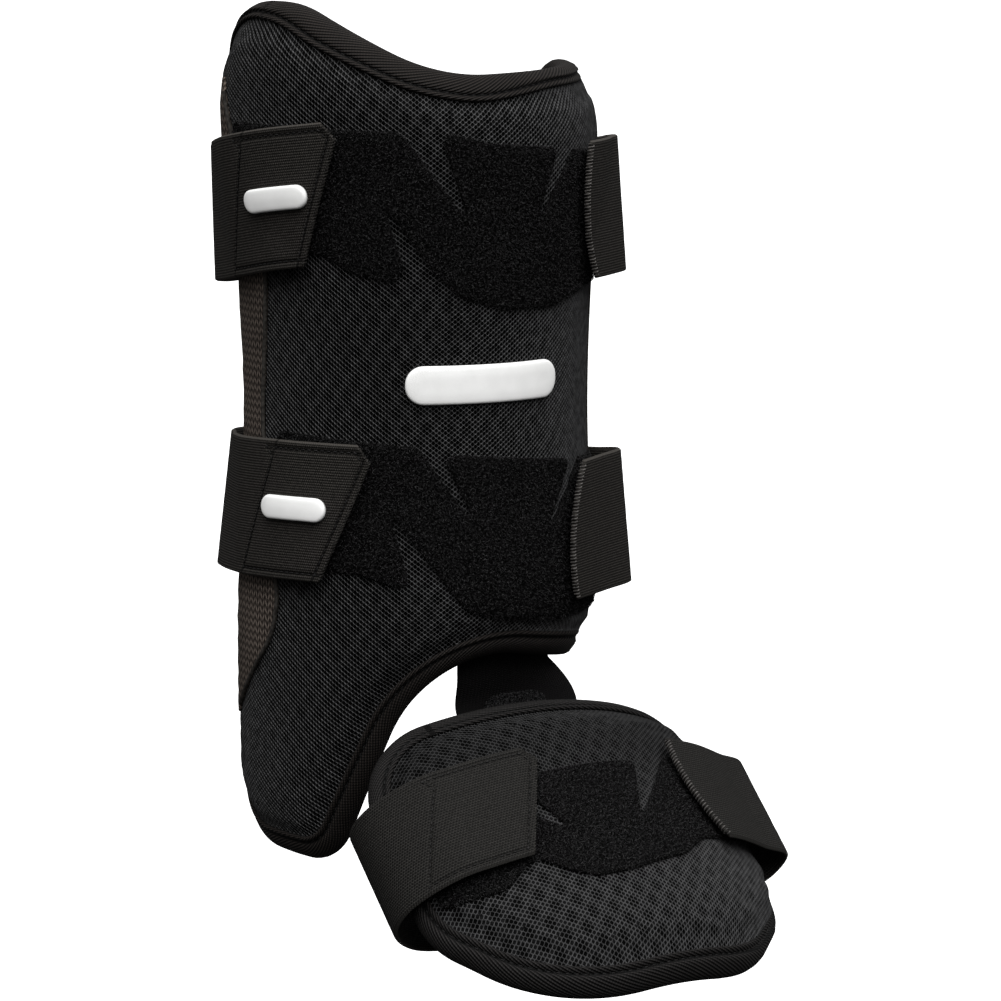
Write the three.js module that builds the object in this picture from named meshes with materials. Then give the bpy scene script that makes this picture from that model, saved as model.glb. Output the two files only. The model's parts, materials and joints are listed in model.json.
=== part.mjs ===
// Batter's leg guard: a padded shin piece and a padded foot piece joined by an elastic tongue,
// held on by two straps round the calf and one strap under the foot.
// Frame: the leg's axis is Z, the front of the shin faces -Y, the viewer's right is +X.
// The origin is on the leg's axis at the height of the arch over the instep. Sizes are in millimetres.
import * as THREE from 'three';
import { TessellateModifier } from 'three/addons/modifiers/TessellateModifier.js';
import { mergeVertices } from 'three/addons/utils/BufferGeometryUtils.js';

// Gaps and sheet thicknesses
const CLEAR = 0.4;
const TAPE = 1.2;
const PILE = 1.2;
const HOOK = 1.0;
const WEBBING = 1.6;
const KNIT = 1.0;
const BADGE = 1.8;

// Edge profile of both pads: how thick the pad is at each distance in from its edge
const BINDING_WIDTH = 9;
const PAD_PROFILE = [
  { inset: 0, height: 5 },
  { inset: BINDING_WIDTH, height: 9.5 },
  { inset: 12, height: 11.8 },
  { inset: 16, height: 13.3 },
  { inset: 21, height: 14 },
];
const PAD_THICKNESS = 14;
const COVER_REACH = 3;

// Shin surface: a waisted cylinder whose left wing opens outwards at the top
const FLAT_RADIUS = 61;
const WAIST_RADIUS = 60.3;
const WAIST_HEIGHT = 85;
const TOP_FLARE = 4.3;
const TOP_FLARE_SPAN = 110;
const LOW_FLARE = 2.7;
const LOW_FLARE_SPAN = 80;
const WING_FLARE = 3;

// Outline of the shin pad laid flat: x is the distance round the leg from the front, y is the height
const SHIN_OUTLINE = [
  { x: -128, y: 221.5, round: 36 },
  { x: -128, y: -65, round: 34 },
  { x: -65, y: -67, round: 17 },
  { x: -27, y: 10, round: 50 },
  { x: 102, y: -10, round: 24 },
  { x: 102, y: 200, round: 24 },
  { x: -22, y: 197, round: 90 },
  { x: -78, y: 221, round: 44 },
];

// Side panels laid flat
const LEFT_PANEL = [
  { x: -108, y: 202, round: 1.5 },
  { x: -117, y: 150, round: 90 },
  { x: -117, y: 40, round: 120 },
  { x: -112, y: -24, round: 1.5 },
  { x: -80, y: 14, round: 30 },
  { x: -92, y: 82, round: 90 },
  { x: -86.5, y: 132, round: 30 },
];
const RIGHT_PANEL = [
  { x: 92, y: 184, round: 1.5 },
  { x: 71, y: 138, round: 40 },
  { x: 71, y: 52, round: 40 },
  { x: 92, y: 6, round: 1.5 },
];

// Loop patches laid flat: blocks joined by slanting bars, with wedge gaps between them
const UPPER_PATCH = [
  { x: -101, y: 183, round: 3 },
  { x: -86, y: 142, round: 3 },
  { x: -63, y: 140, round: 6 },
  { x: -51, y: 134, round: 8 },
  { x: -38, y: 131.5, round: 3 },
  { x: -35, y: 136, round: 2 },
  { x: -42, y: 158, round: 0.8 },
  { x: -25, y: 134, round: 4 },
  { x: -16, y: 126, round: 8 },
  { x: -1, y: 121.5, round: 14 },
  { x: 20, y: 121, round: 14 },
  { x: 44, y: 126, round: 8 },
  { x: 66, y: 127, round: 3 },
  { x: 66, y: 171, round: 3 },
  { x: 28.5, y: 173.5, round: 2 },
  { x: 11, y: 149, round: 0.8 },
  { x: 20, y: 174.5, round: 2 },
  { x: -7, y: 177, round: 20 },
  { x: -24, y: 181.5, round: 3 },
  { x: -13.5, y: 150, round: 0.8 },
  { x: -36, y: 181, round: 4 },
];
const LOWER_PATCH = [
  { x: -84, y: 80, round: 3 },
  { x: -79.5, y: 35, round: 3 },
  { x: -51, y: 33.5, round: 10 },
  { x: -43, y: 31, round: 6 },
  { x: -33, y: 28, round: 3 },
  { x: -40.5, y: 55, round: 0.8 },
  { x: -15, y: 21, round: 5 },
  { x: -1, y: 16.5, round: 12 },
  { x: 28, y: 13.5, round: 20 },
  { x: 66, y: 14, round: 3 },
  { x: 66, y: 66, round: 3 },
  { x: 41, y: 67.5, round: 2 },
  { x: 15.5, y: 42.5, round: 0.8 },
  { x: 33, y: 68, round: 2 },
  { x: 7, y: 71, round: 20 },
  { x: -23, y: 74, round: 3 },
  { x: -8.5, y: 45, round: 0.8 },
  { x: -31, y: 76.5, round: 4 },
];

// Leg straps: the band's middle line from its left tab round the back of the leg to its right end,
// creased where it leaves the pad on both sides
const STRAP_WIDTH = 47;
const UPPER_STRAP_PATH = [
  { turn: -50, reach: 66, height: 161.5, lean: 0 },
  { turn: -75, reach: 66.5, height: 157.8, lean: 0 },
  { turn: -92, reach: 66.2, height: 154.3, lean: -0.5 },
  { turn: -106, reach: 66.6, height: 151.6, lean: -1 },
  { turn: -121, reach: 68.8, height: 149.3, lean: -2 },
  { turn: -129, reach: 65, height: 148.2, lean: -1 },
  { turn: -150, reach: 65, height: 146.5, lean: 0 },
  { turn: -180, reach: 67, height: 145, lean: 2 },
  { turn: -215, reach: 67.5, height: 145, lean: 3 },
  { turn: -250, reach: 66, height: 146.5, lean: 4 },
  { turn: -272, reach: 66, height: 148.5, lean: 4 },
  { turn: -290, reach: 67.5, height: 151, lean: 4.5 },
  { turn: -299, reach: 71, height: 152.3, lean: 4.5 },
  { turn: -314, reach: 67, height: 152.5, lean: 3 },
  { turn: -330, reach: 66, height: 152.5, lean: 1 },
];
const LOWER_STRAP_PATH = [
  { turn: -43, reach: 65, height: 54, lean: 0 },
  { turn: -70, reach: 65, height: 54, lean: 1 },
  { turn: -90, reach: 64.5, height: 53, lean: 4 },
  { turn: -105, reach: 64.5, height: 52, lean: 6 },
  { turn: -119, reach: 66.2, height: 51.2, lean: 7.5 },
  { turn: -128, reach: 62.5, height: 50.5, lean: 7.5 },
  { turn: -150, reach: 63, height: 48, lean: 7 },
  { turn: -180, reach: 66, height: 43, lean: 6 },
  { turn: -215, reach: 67.5, height: 39.5, lean: 5.5 },
  { turn: -250, reach: 66, height: 39, lean: 5 },
  { turn: -272, reach: 66, height: 40, lean: 5 },
  { turn: -290, reach: 68, height: 42.2, lean: 5 },
  { turn: -299, reach: 73, height: 43.5, lean: 5 },
  { turn: -316, reach: 67, height: 44, lean: 3 },
  { turn: -336.5, reach: 66, height: 44, lean: 1 },
];
const UPPER_TAB_SLANT = 15.5;
const LOWER_TAB_SLANT = 17.5;
const TAB_CHAMFER = 6;
const TAB_CHAMFER_DEPTH = 4.6;
const HOOK_LENGTH = 34;
const HOOK_MARGIN = 3;

// Bowed right ends: the cut at the far edge, and the place across the band that reaches furthest
const UPPER_END = { cut: 8.5, middle: 0.4 };
const LOWER_END = { cut: 10, middle: -0.3 };
const FOOT_END = { cut: 5, middle: 0.5 };

// Foot surface: an arch across the foot, bent a little along it and sloping down towards the toes
const FOOT_TOP = { x: 6, y: -54, z: -14 };
const FOOT_SLOPE = 39;
const FOOT_ARCH_RADIUS = 110;
const FOOT_BEND_RADIUS = 700;

// Outline of the foot pad laid flat: x is across the foot, y falls from the ankle edge towards the toes
const FOOT_OUTLINE = [
  { x: -61, y: -5, round: 26 },
  { x: -63, y: -78, round: 30 },
  { x: -31, y: -118, round: 56 },
  { x: 46, y: -112, round: 54 },
  { x: 84, y: -84, round: 22 },
  { x: 74, y: -5, round: 26 },
];
const FOOT_PATCH = [
  { x: -56, y: -42, round: 3 },
  { x: -55, y: -74, round: 4 },
  { x: -36, y: -78, round: 8 },
  { x: -24, y: -69, round: 6 },
  { x: -16, y: -77, round: 6 },
  { x: -8, y: -81.5, round: 10 },
  { x: 5, y: -81, round: 14 },
  { x: 27, y: -76, round: 10 },
  { x: 38, y: -69, round: 6 },
  { x: 58, y: -66, round: 3 },
  { x: 58, y: -36, round: 3 },
  { x: 38, y: -35, round: 2 },
  { x: 15.5, y: -62.5, round: 0.8 },
  { x: 24, y: -38, round: 2 },
  { x: 10, y: -38.5, round: 10 },
  { x: -21, y: -39.7, round: 2 },
  { x: -9, y: -63.5, round: 0.8 },
  { x: -34, y: -40.3, round: 2 },
];

// Foot strap: the band's middle line in the plane across the foot, starting and ending on the pad
const FOOT_STRAP_WIDTH = 40;
const FOOT_STRAP_SEAT = -50;
const FOOT_STRAP_LIFT = PAD_THICKNESS + 3 * CLEAR + PILE + HOOK + 0.1;
const FOOT_STRAP_LEFT = [-12, -24, -36, -48];
const FOOT_STRAP_UNDER = [
  { across: -66, depth: -9 },
  { across: -66, depth: -22 },
  { across: -54, depth: -34 },
  { across: -30, depth: -39 },
  { across: 2, depth: -41 },
  { across: 36, depth: -40 },
  { across: 68, depth: -35 },
  { across: 83, depth: -25 },
  { across: 84, depth: -12 },
];
const FOOT_STRAP_RIGHT = [66, 52, 37];
const FOOT_TAB_SLANT = 15.5;
const FOOT_HOOK_LENGTH = 28;

// Tongue: leaves the shin lining above the arch, swells out on its right side and slides under the foot pad
const TONGUE_WIDTH = 53;
const TONGUE_LENGTH = 84;
const TONGUE_TOP = 30;
const TONGUE_ROWS = 22;
const TONGUE_ROUND = 23;
const TONGUE_SIDE = 9;
const TONGUE_FOOT_START = 54;
const TONGUE_LEAVE = 36;
const TONGUE_ARRIVE = 60;
const TONGUE_SHIN_SINK = TAPE + 2 * CLEAR + WEBBING;
const TONGUE_FOOT_SINK = TAPE + 3 * CLEAR + PILE + WEBBING;
const TONGUE_SWELL = { reach: 6, from: 35, to: 54, edge: -10, width: 36, turn: 58 };
const TONGUE_TAB = [
  { x: -16, y: -62, round: 2 },
  { x: 8, y: -62, round: 2 },
  { x: 8, y: -47, round: 2 },
  { x: -16, y: -47, round: 2 },
];

// Badges laid flat: plain rounded bars
const SHIN_BADGE = { x: -6, y: 97, length: 58, width: 13, tilt: 0 };
const UPPER_TAB_BADGE = { along: 25, up: 0, length: 26, width: 8, tilt: 0 };
const LOWER_TAB_BADGE = { along: 28, up: 1, length: 26, width: 8, tilt: 0 };

// Fineness of the facets
const OUTLINE_STEP = 9;
const CORE_STEP = 16;
const SHEET_STEP = 10;
const SHIN_SQUEEZE = 0.5;
const FOOT_SQUEEZE = 0.5;
const STRAP_COLUMNS = 52;
const HOOK_COLUMNS = 5;

const ease = (value) => THREE.MathUtils.smoothstep(value, 0, 1);

// Corner fillets of an outline after every side has moved in by an inset
function fillets(corners, inset) {
  const count = corners.length;
  const points = corners.map((corner) => new THREE.Vector2(corner.x, corner.y));
  const sides = points.map((point, i) => points[(i + 1) % count].clone().sub(point).normalize());
  return corners.map((corner, i) => {
    const before = sides[(i + count - 1) % count];
    const after = sides[i];
    const bend = Math.asin(THREE.MathUtils.clamp(before.cross(after), -1, 1));
    const turn = before.dot(after) < 0 ? Math.sign(bend) * Math.PI - bend : bend;
    const half = Math.tan(turn / 2);
    const tip = points[i].clone();
    tip.addScaledVector(new THREE.Vector2(-before.y, before.x), inset);
    tip.addScaledVector(before, -inset * half);
    const radius = Math.max(turn > 0 ? corner.round - inset : corner.round + inset, 0.5);
    const reach = radius * Math.abs(half);
    return { tip, before, after, turn, reach, radius };
  });
}

// Points of a rounded outline; every inset of one outline has the same number of points
function roundedOutline(corners, inset = 0, runStep = OUTLINE_STEP) {
  const base = fillets(corners, 0);
  const moved = fillets(corners, inset);
  const count = corners.length;
  const points = [];
  moved.forEach((fillet, i) => {
    const arcSteps = Math.max(1, Math.ceil((base[i].radius * Math.abs(base[i].turn)) / OUTLINE_STEP));
    const side = Math.sign(fillet.turn);
    const start = fillet.tip.clone().addScaledVector(fillet.before, -fillet.reach);
    const centre = start.clone();
    centre.addScaledVector(new THREE.Vector2(-fillet.before.y, fillet.before.x), side * fillet.radius);
    for (let k = 0; k <= arcSteps; k += 1) {
      points.push(start.clone().rotateAround(centre, (fillet.turn * k) / arcSteps));
    }
    const next = (i + 1) % count;
    const baseRun = base[i].tip.distanceTo(base[next].tip) - base[i].reach - base[next].reach;
    const runSteps = Math.max(1, Math.ceil(baseRun / runStep));
    const from = points[points.length - 1];
    const to = moved[next].tip.clone().addScaledVector(moved[next].before, -moved[next].reach);
    for (let k = 1; k < runSteps; k += 1) {
      points.push(from.clone().lerp(to, k / runSteps));
    }
  });
  return points;
}

// Distance of a flat point in from an outline; negative outside it
function edgeDistance(outline, x, y) {
  let nearest = Infinity;
  let inside = false;
  outline.forEach((a, i) => {
    const b = outline[(i + 1) % outline.length];
    const along = ((x - a.x) * (b.x - a.x) + (y - a.y) * (b.y - a.y)) / a.distanceToSquared(b);
    const part = THREE.MathUtils.clamp(along, 0, 1);
    nearest = Math.min(nearest, Math.hypot(x - a.x - part * (b.x - a.x), y - a.y - part * (b.y - a.y)));
    if (a.y > y !== b.y > y && x < a.x + ((y - a.y) / (b.y - a.y)) * (b.x - a.x)) {
      inside = !inside;
    }
  });
  return inside ? nearest : -nearest;
}

// Pad thickness at a distance in from the edge
function padHeight(distance) {
  const rows = PAD_PROFILE;
  if (distance <= 0) {
    return rows[0].height;
  }
  const next = rows.findIndex((row) => row.inset > distance);
  if (next < 0) {
    return PAD_THICKNESS;
  }
  const low = rows[next - 1];
  const high = rows[next];
  const part = (distance - low.inset) / (high.inset - low.inset);
  return THREE.MathUtils.lerp(low.height, high.height, part);
}

// Radius of the shin lining at a flat place
function liningRadius(x, y) {
  const above = TOP_FLARE * ease((y - WAIST_HEIGHT) / TOP_FLARE_SPAN);
  const below = LOW_FLARE * ease((WAIST_HEIGHT - y) / LOW_FLARE_SPAN);
  const wing = WING_FLARE * ease((y - 130) / 60) * ease((-x - 60) / 55);
  return WAIST_RADIUS - PAD_THICKNESS + above + below + wing;
}

// Flat shin place and height over the lining to a point in space
function shinPoint(x, y, height) {
  const radius = liningRadius(x, y) + height;
  const turn = x / FLAT_RADIUS;
  return new THREE.Vector3(radius * Math.sin(turn), -radius * Math.cos(turn), y);
}

const shinEdge = roundedOutline(SHIN_OUTLINE);
const footEdge = roundedOutline(FOOT_OUTLINE);
const shinCover = (x, y) => padHeight(edgeDistance(shinEdge, x, y) + COVER_REACH);
const footCover = (x, y) => padHeight(edgeDistance(footEdge, x, y) + COVER_REACH);
const onShinPad = (x, y, height) => shinPoint(x, y, shinCover(x, y) + height);

// Axes of the foot piece
const footSlope = THREE.MathUtils.degToRad(FOOT_SLOPE);
const footOrigin = new THREE.Vector3(FOOT_TOP.x, FOOT_TOP.y, FOOT_TOP.z);
const footAcross = new THREE.Vector3(1, 0, 0);
const footToAnkle = new THREE.Vector3(0, Math.cos(footSlope), Math.sin(footSlope));
const footUp = new THREE.Vector3(0, -Math.sin(footSlope), Math.cos(footSlope));

// Place in the plane across the foot to a point in space
function footPlace(across, depth, along) {
  const point = footOrigin.clone();
  point.addScaledVector(footAcross, across);
  point.addScaledVector(footUp, depth);
  point.addScaledVector(footToAnkle, along);
  return point;
}

// Flat foot place and height over the foot lining to a point in space
function footPoint(x, y, height) {
  const arch = x / FOOT_ARCH_RADIUS;
  const bend = y / FOOT_BEND_RADIUS;
  const across = (FOOT_ARCH_RADIUS + height) * Math.sin(arch);
  const archDrop = (FOOT_ARCH_RADIUS + height) * Math.cos(arch) - FOOT_ARCH_RADIUS;
  const bendDrop = FOOT_BEND_RADIUS * (Math.cos(bend) - 1);
  return footPlace(across, archDrop + bendDrop, FOOT_BEND_RADIUS * Math.sin(bend));
}

const onFootPad = (x, y, height) => footPoint(x, y, footCover(x, y) + height);

// Closed geometry from triangles of flat places with heights, bent into place
function closedGeometry(positions, bendTo) {
  const geometry = new THREE.BufferGeometry();
  geometry.setAttribute('position', new THREE.Float32BufferAttribute(positions, 3));
  const merged = mergeVertices(geometry, 0.001);
  const place = merged.getAttribute('position');
  for (let i = 0; i < place.count; i += 1) {
    const point = bendTo(place.getX(i), place.getY(i), place.getZ(i));
    place.setXYZ(i, point.x, point.y, point.z);
  }
  merged.computeVertexNormals();
  return merged;
}

// Positions of a geometry whose long edges are halved; lengths along y count less by the squeeze
function finePositions(geometry, squeeze, step) {
  const loose = geometry.index ? geometry.toNonIndexed() : geometry;
  loose.scale(1, squeeze, 1);
  const fine = new TessellateModifier(step, 14).modify(loose);
  fine.scale(1, 1 / squeeze, 1);
  return Array.from(fine.getAttribute('position').array);
}

// Flat sheet of one thickness bent onto a surface
function sheet(outline, bottom, thickness, squeeze, bendTo) {
  const shape = new THREE.Shape(outline);
  const flat = new THREE.ExtrudeGeometry(shape, { depth: thickness, bevelEnabled: false });
  flat.deleteAttribute('normal');
  flat.deleteAttribute('uv');
  flat.translate(0, 0, bottom);
  return closedGeometry(finePositions(flat, squeeze, SHEET_STEP), bendTo);
}

// Band of one thickness bent along its path: each row across it says where the band begins and ends
function ribbon(rows, columns, bottom, thickness, bendTo) {
  const positions = [];
  const push = (row, column, height) => {
    const x = THREE.MathUtils.lerp(-rows[row].to, -rows[row].from, column / columns);
    positions.push(x, rows[row].y, height);
  };
  const quad = (a, b, c, d) => {
    [a, b, c, a, c, d].forEach((corner) => push(...corner));
  };
  const top = bottom + thickness;
  const last = rows.length - 1;
  for (let r = 0; r < last; r += 1) {
    for (let c = 0; c < columns; c += 1) {
      quad([r, c, top], [r, c + 1, top], [r + 1, c + 1, top], [r + 1, c, top]);
      quad([r, c + 1, bottom], [r, c, bottom], [r + 1, c, bottom], [r + 1, c + 1, bottom]);
    }
    quad([r, 0, bottom], [r, 0, top], [r + 1, 0, top], [r + 1, 0, bottom]);
    quad([r, columns, top], [r, columns, bottom], [r + 1, columns, bottom], [r + 1, columns, top]);
  }
  for (let c = 0; c < columns; c += 1) {
    quad([0, c, bottom], [0, c + 1, bottom], [0, c + 1, top], [0, c, top]);
    quad([last, c, top], [last, c + 1, top], [last, c + 1, bottom], [last, c, bottom]);
  }
  return closedGeometry(positions, bendTo);
}

// Padded sheet whose thickness follows the edge profile
function pad(corners, squeeze, bendTo) {
  const rings = PAD_PROFILE.map((row) => roundedOutline(corners, row.inset));
  const count = rings[0].length;
  const positions = [];
  const push = (point, height) => positions.push(point.x, point.y, height);
  const quad = (a, b, c, d, heights) => {
    push(a, heights[0]);
    push(b, heights[1]);
    push(c, heights[2]);
    push(a, heights[0]);
    push(c, heights[2]);
    push(d, heights[3]);
  };
  for (let i = 0; i < count; i += 1) {
    const j = (i + 1) % count;
    const edge = rings[0];
    quad(edge[i], edge[j], edge[j], edge[i], [0, 0, PAD_PROFILE[0].height, PAD_PROFILE[0].height]);
    for (let k = 0; k + 1 < rings.length; k += 1) {
      const outer = PAD_PROFILE[k].height;
      const inner = PAD_PROFILE[k + 1].height;
      quad(rings[k][i], rings[k][j], rings[k + 1][j], rings[k + 1][i], [outer, outer, inner, inner]);
      quad(rings[k][j], rings[k][i], rings[k + 1][i], rings[k + 1][j], [0, 0, 0, 0]);
    }
  }
  const core = new THREE.ShapeGeometry(new THREE.Shape(rings[rings.length - 1]));
  core.deleteAttribute('normal');
  core.deleteAttribute('uv');
  const middle = finePositions(core, squeeze, CORE_STEP);
  for (let i = 0; i < middle.length; i += 9) {
    const corner = (k) => new THREE.Vector2(middle[i + k], middle[i + k + 1]);
    [0, 3, 6].forEach((k) => push(corner(k), PAD_THICKNESS));
    [0, 6, 3].forEach((k) => push(corner(k), 0));
  }
  return closedGeometry(positions, bendTo);
}

// Tape folded round a pad's edge: a channel section carried along the outline
function binding(corners, bendTo) {
  const edge = PAD_PROFILE[0].height;
  const seam = PAD_PROFILE[1].height;
  const out = CLEAR + TAPE;
  const section = [
    { inset: BINDING_WIDTH - 0.5, height: seam + out },
    { inset: 1, height: edge + out + 0.5 },
    { inset: -out, height: edge - 0.5 },
    { inset: -out, height: 1 },
    { inset: 0.5, height: -out },
    { inset: BINDING_WIDTH - 0.5, height: -out },
    { inset: BINDING_WIDTH - 0.5, height: -CLEAR },
    { inset: -CLEAR, height: -CLEAR },
    { inset: -CLEAR, height: edge + CLEAR },
    { inset: BINDING_WIDTH - 0.5, height: seam + CLEAR },
  ];
  const rings = section.map((row) => roundedOutline(corners, row.inset));
  const positions = [];
  const push = (k, i) => positions.push(rings[k][i].x, rings[k][i].y, section[k].height);
  for (let k = 0; k < section.length; k += 1) {
    const m = (k + 1) % section.length;
    for (let i = 0; i < rings[0].length; i += 1) {
      const j = (i + 1) % rings[0].length;
      push(k, i);
      push(m, j);
      push(k, j);
      push(k, i);
      push(m, i);
      push(m, j);
    }
  }
  return closedGeometry(positions, bendTo);
}

// Smooth middle line of a leg strap
function strapLine(path) {
  const stops = path.map((row) => {
    const turn = THREE.MathUtils.degToRad(row.turn);
    return new THREE.Vector3(row.reach * Math.sin(turn), -row.reach * Math.cos(turn), row.height);
  });
  return new THREE.CatmullRomCurve3(stops, false, 'centripetal');
}

// Bends a leg strap laid flat: its left tab ends at x = 0 and it runs towards -x, y is across it.
// The band lies on the pad where the pad stands out further than the band's own line.
function strapBend(path, lift) {
  const line = strapLine(path);
  const length = line.getLength();
  const leans = path.map((row) => row.lean);
  return (x, y, height) => {
    const part = THREE.MathUtils.clamp(-x / length, 0, 1);
    const middle = line.getPointAt(part);
    const tangent = line.getTangentAt(part);
    const spot = part * (leans.length - 1);
    const row = Math.min(Math.floor(spot), leans.length - 2);
    const lean = THREE.MathUtils.degToRad(THREE.MathUtils.lerp(leans[row], leans[row + 1], spot - row));
    const reach = Math.hypot(middle.x, middle.y);
    const rise = tangent.z;
    const turn = Math.atan2(middle.x, -middle.y) + (y * rise) / reach;
    const z = middle.z + y * Math.sqrt(1 - rise * rise);
    const own = reach - y * Math.tan(lean);
    const flatX = turn * FLAT_RADIUS;
    const inside = edgeDistance(shinEdge, flatX, z) > 0;
    const seat = inside ? liningRadius(flatX, z) + shinCover(flatX, z) + lift : 0;
    const radius = Math.max(own, seat) + height;
    return new THREE.Vector3(radius * Math.sin(turn), -radius * Math.cos(turn), z);
  };
}

// How far a strap's bowed right end is cut back at a distance across it
function endCut(end, y, width) {
  const part = ((2 * y) / width - end.middle) / (1 + Math.abs(end.middle));
  return end.cut * part * part;
}

// Rows of a strap with a slanted, chamfered tab at its left end and a bowed right end
function strapRows(length, width, slant, end) {
  const half = width / 2;
  const corner = half - TAB_CHAMFER;
  const slanted = (y) => (slant * (corner - y)) / (corner + half);
  const across = [-half, -half * 0.5, 0, corner * 0.5, corner, half];
  return across.map((y) => ({
    y,
    from: y > corner ? TAB_CHAMFER_DEPTH : slanted(y),
    to: length - endCut(end, y, width),
  }));
}

// Places across the two hook pads under a strap's ends
function hookAcross(width) {
  const half = width / 2 - HOOK_MARGIN;
  return [-half, -half * 0.4, half * 0.3, half];
}

// Rows of the hook pad under the left tab, slanted as the tab is
function leftHookRows(from, to, width, slant) {
  return hookAcross(width).map((y) => ({ y, from: from + slant * (0.5 - y / width), to }));
}

// Rows of the hook pad under the right end, bowed as the end is
function rightHookRows(from, to, width, end) {
  return hookAcross(width).map((y) => ({ y, from, to: to - endCut(end, y, width) }));
}

// Flat outline of a rounded bar
function barShape(bar) {
  const tilt = THREE.MathUtils.degToRad(bar.tilt);
  const corners = [
    { x: -1, y: -1 },
    { x: 1, y: -1 },
    { x: 1, y: 1 },
    { x: -1, y: 1 },
  ];
  return corners.map((corner) => {
    const place = new THREE.Vector2((corner.x * bar.length) / 2, (corner.y * bar.width) / 2);
    place.rotateAround(new THREE.Vector2(), tilt);
    return { x: bar.x + place.x, y: bar.y + place.y, round: bar.width * 0.48 };
  });
}

// Bends the foot strap laid flat: its left tab ends at x = 0 and it runs towards -x, y is along the foot
function footStrapBend() {
  const seatStop = (x) => {
    const arch = x / FOOT_ARCH_RADIUS;
    const reach = FOOT_ARCH_RADIUS + FOOT_STRAP_LIFT;
    return new THREE.Vector3(reach * Math.sin(arch), reach * Math.cos(arch) - FOOT_ARCH_RADIUS, 0);
  };
  const stops = FOOT_STRAP_LEFT.map(seatStop);
  FOOT_STRAP_UNDER.forEach((row) => stops.push(new THREE.Vector3(row.across, row.depth, 0)));
  FOOT_STRAP_RIGHT.forEach((x) => stops.push(seatStop(x)));
  const line = new THREE.CatmullRomCurve3(stops, false, 'centripetal');
  const length = line.getLength();
  const seat = footPoint(0, FOOT_STRAP_SEAT, 0);
  const tilt = FOOT_STRAP_SEAT / FOOT_BEND_RADIUS;
  const seatAlong = footToAnkle.clone().applyAxisAngle(footAcross, -tilt);
  const seatUp = footUp.clone().applyAxisAngle(footAcross, -tilt);
  const bend = (x, y, height) => {
    const part = THREE.MathUtils.clamp(-x / length, 0, 1);
    const middle = line.getPointAt(part);
    const tangent = line.getTangentAt(part);
    const point = seat.clone();
    point.addScaledVector(footAcross, middle.x + tangent.y * height);
    point.addScaledVector(seatUp, middle.y - tangent.x * height);
    return point.addScaledVector(seatAlong, y);
  };
  return { bend, length };
}

// Bends the tongue laid flat: x is across it, y falls from its top end
function tonguePoint(x, y, height) {
  const onShin = shinPoint(TONGUE_ROUND + (x * FLAT_RADIUS) / 46, TONGUE_TOP + y, height - TONGUE_SHIN_SINK);
  const onFoot = footPoint(TONGUE_SIDE + x, TONGUE_FOOT_START + y, height - TONGUE_FOOT_SINK);
  const part = ease((-y - TONGUE_LEAVE) / (TONGUE_ARRIVE - TONGUE_LEAVE));
  const { reach, from, to, edge, width, turn } = TONGUE_SWELL;
  const along = THREE.MathUtils.clamp((-y - from) / (to - from), 0, 1);
  const swell = reach * Math.sin(Math.PI * along) * ease((x - edge) / width);
  const outwards = THREE.MathUtils.degToRad(turn);
  const aside = new THREE.Vector3(Math.sin(outwards), -Math.cos(outwards), 0);
  return onShin.lerp(onFoot, part).addScaledVector(aside, swell);
}

// Materials
const cloth = (color, roughness) => new THREE.MeshStandardMaterial({ color, roughness, metalness: 0 });
const materials = {
  mesh: cloth(0x1e1e20, 0.85),
  tape: cloth(0x151414, 0.8),
  knit: cloth(0x2a2623, 0.9),
  pile: cloth(0x0c0c0d, 0.95),
  webbing: cloth(0x191817, 0.8),
  hook: cloth(0x121212, 0.7),
  badge: cloth(0xeeeeea, 0.45),
};

const guard = new THREE.Group();
function add(name, geometry, material) {
  const mesh = new THREE.Mesh(geometry, material);
  mesh.name = name;
  guard.add(mesh);
}
const flatSheet = (corners) => roundedOutline(corners, 0, Infinity);

// Shin piece
add('shin_pad', pad(SHIN_OUTLINE, SHIN_SQUEEZE, shinPoint), materials.mesh);
add('shin_binding', binding(SHIN_OUTLINE, shinPoint), materials.tape);
add('side_panel_left', sheet(flatSheet(LEFT_PANEL), CLEAR, KNIT, SHIN_SQUEEZE, onShinPad), materials.knit);
add('side_panel_right', sheet(flatSheet(RIGHT_PANEL), CLEAR, KNIT, SHIN_SQUEEZE, onShinPad), materials.knit);
add('upper_loop_patch', sheet(flatSheet(UPPER_PATCH), CLEAR, PILE, SHIN_SQUEEZE, onShinPad), materials.pile);
add('lower_loop_patch', sheet(flatSheet(LOWER_PATCH), CLEAR, PILE, SHIN_SQUEEZE, onShinPad), materials.pile);
add('shin_badge', sheet(flatSheet(barShape(SHIN_BADGE)), CLEAR, BADGE, 1, onShinPad), materials.badge);

// Leg straps with their hook pads and badges
const hookSeat = 2 * CLEAR + PILE;
const strapSeat = hookSeat + HOOK + CLEAR;
function addStrap(name, path, slant, end, badge) {
  const bend = strapBend(path, strapSeat);
  const length = strapLine(path).getLength();
  const band = strapRows(length, STRAP_WIDTH, slant, end);
  const left = leftHookRows(HOOK_MARGIN + 2, HOOK_LENGTH, STRAP_WIDTH, slant);
  const right = rightHookRows(length - HOOK_LENGTH * 0.6, length - HOOK_MARGIN, STRAP_WIDTH, end);
  const bar = flatSheet(barShape({ ...badge, x: -badge.along, y: badge.up }));
  add(`${name}_strap`, ribbon(band, STRAP_COLUMNS, 0, WEBBING, bend), materials.webbing);
  add(`${name}_hook_left`, ribbon(left, HOOK_COLUMNS, -CLEAR - HOOK, HOOK, bend), materials.hook);
  add(`${name}_hook_right`, ribbon(right, HOOK_COLUMNS, -CLEAR - HOOK, HOOK, bend), materials.hook);
  add(`${name}_badge`, sheet(bar, WEBBING + CLEAR, BADGE, 1, bend), materials.badge);
}
addStrap('upper', UPPER_STRAP_PATH, UPPER_TAB_SLANT, UPPER_END, UPPER_TAB_BADGE);
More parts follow.
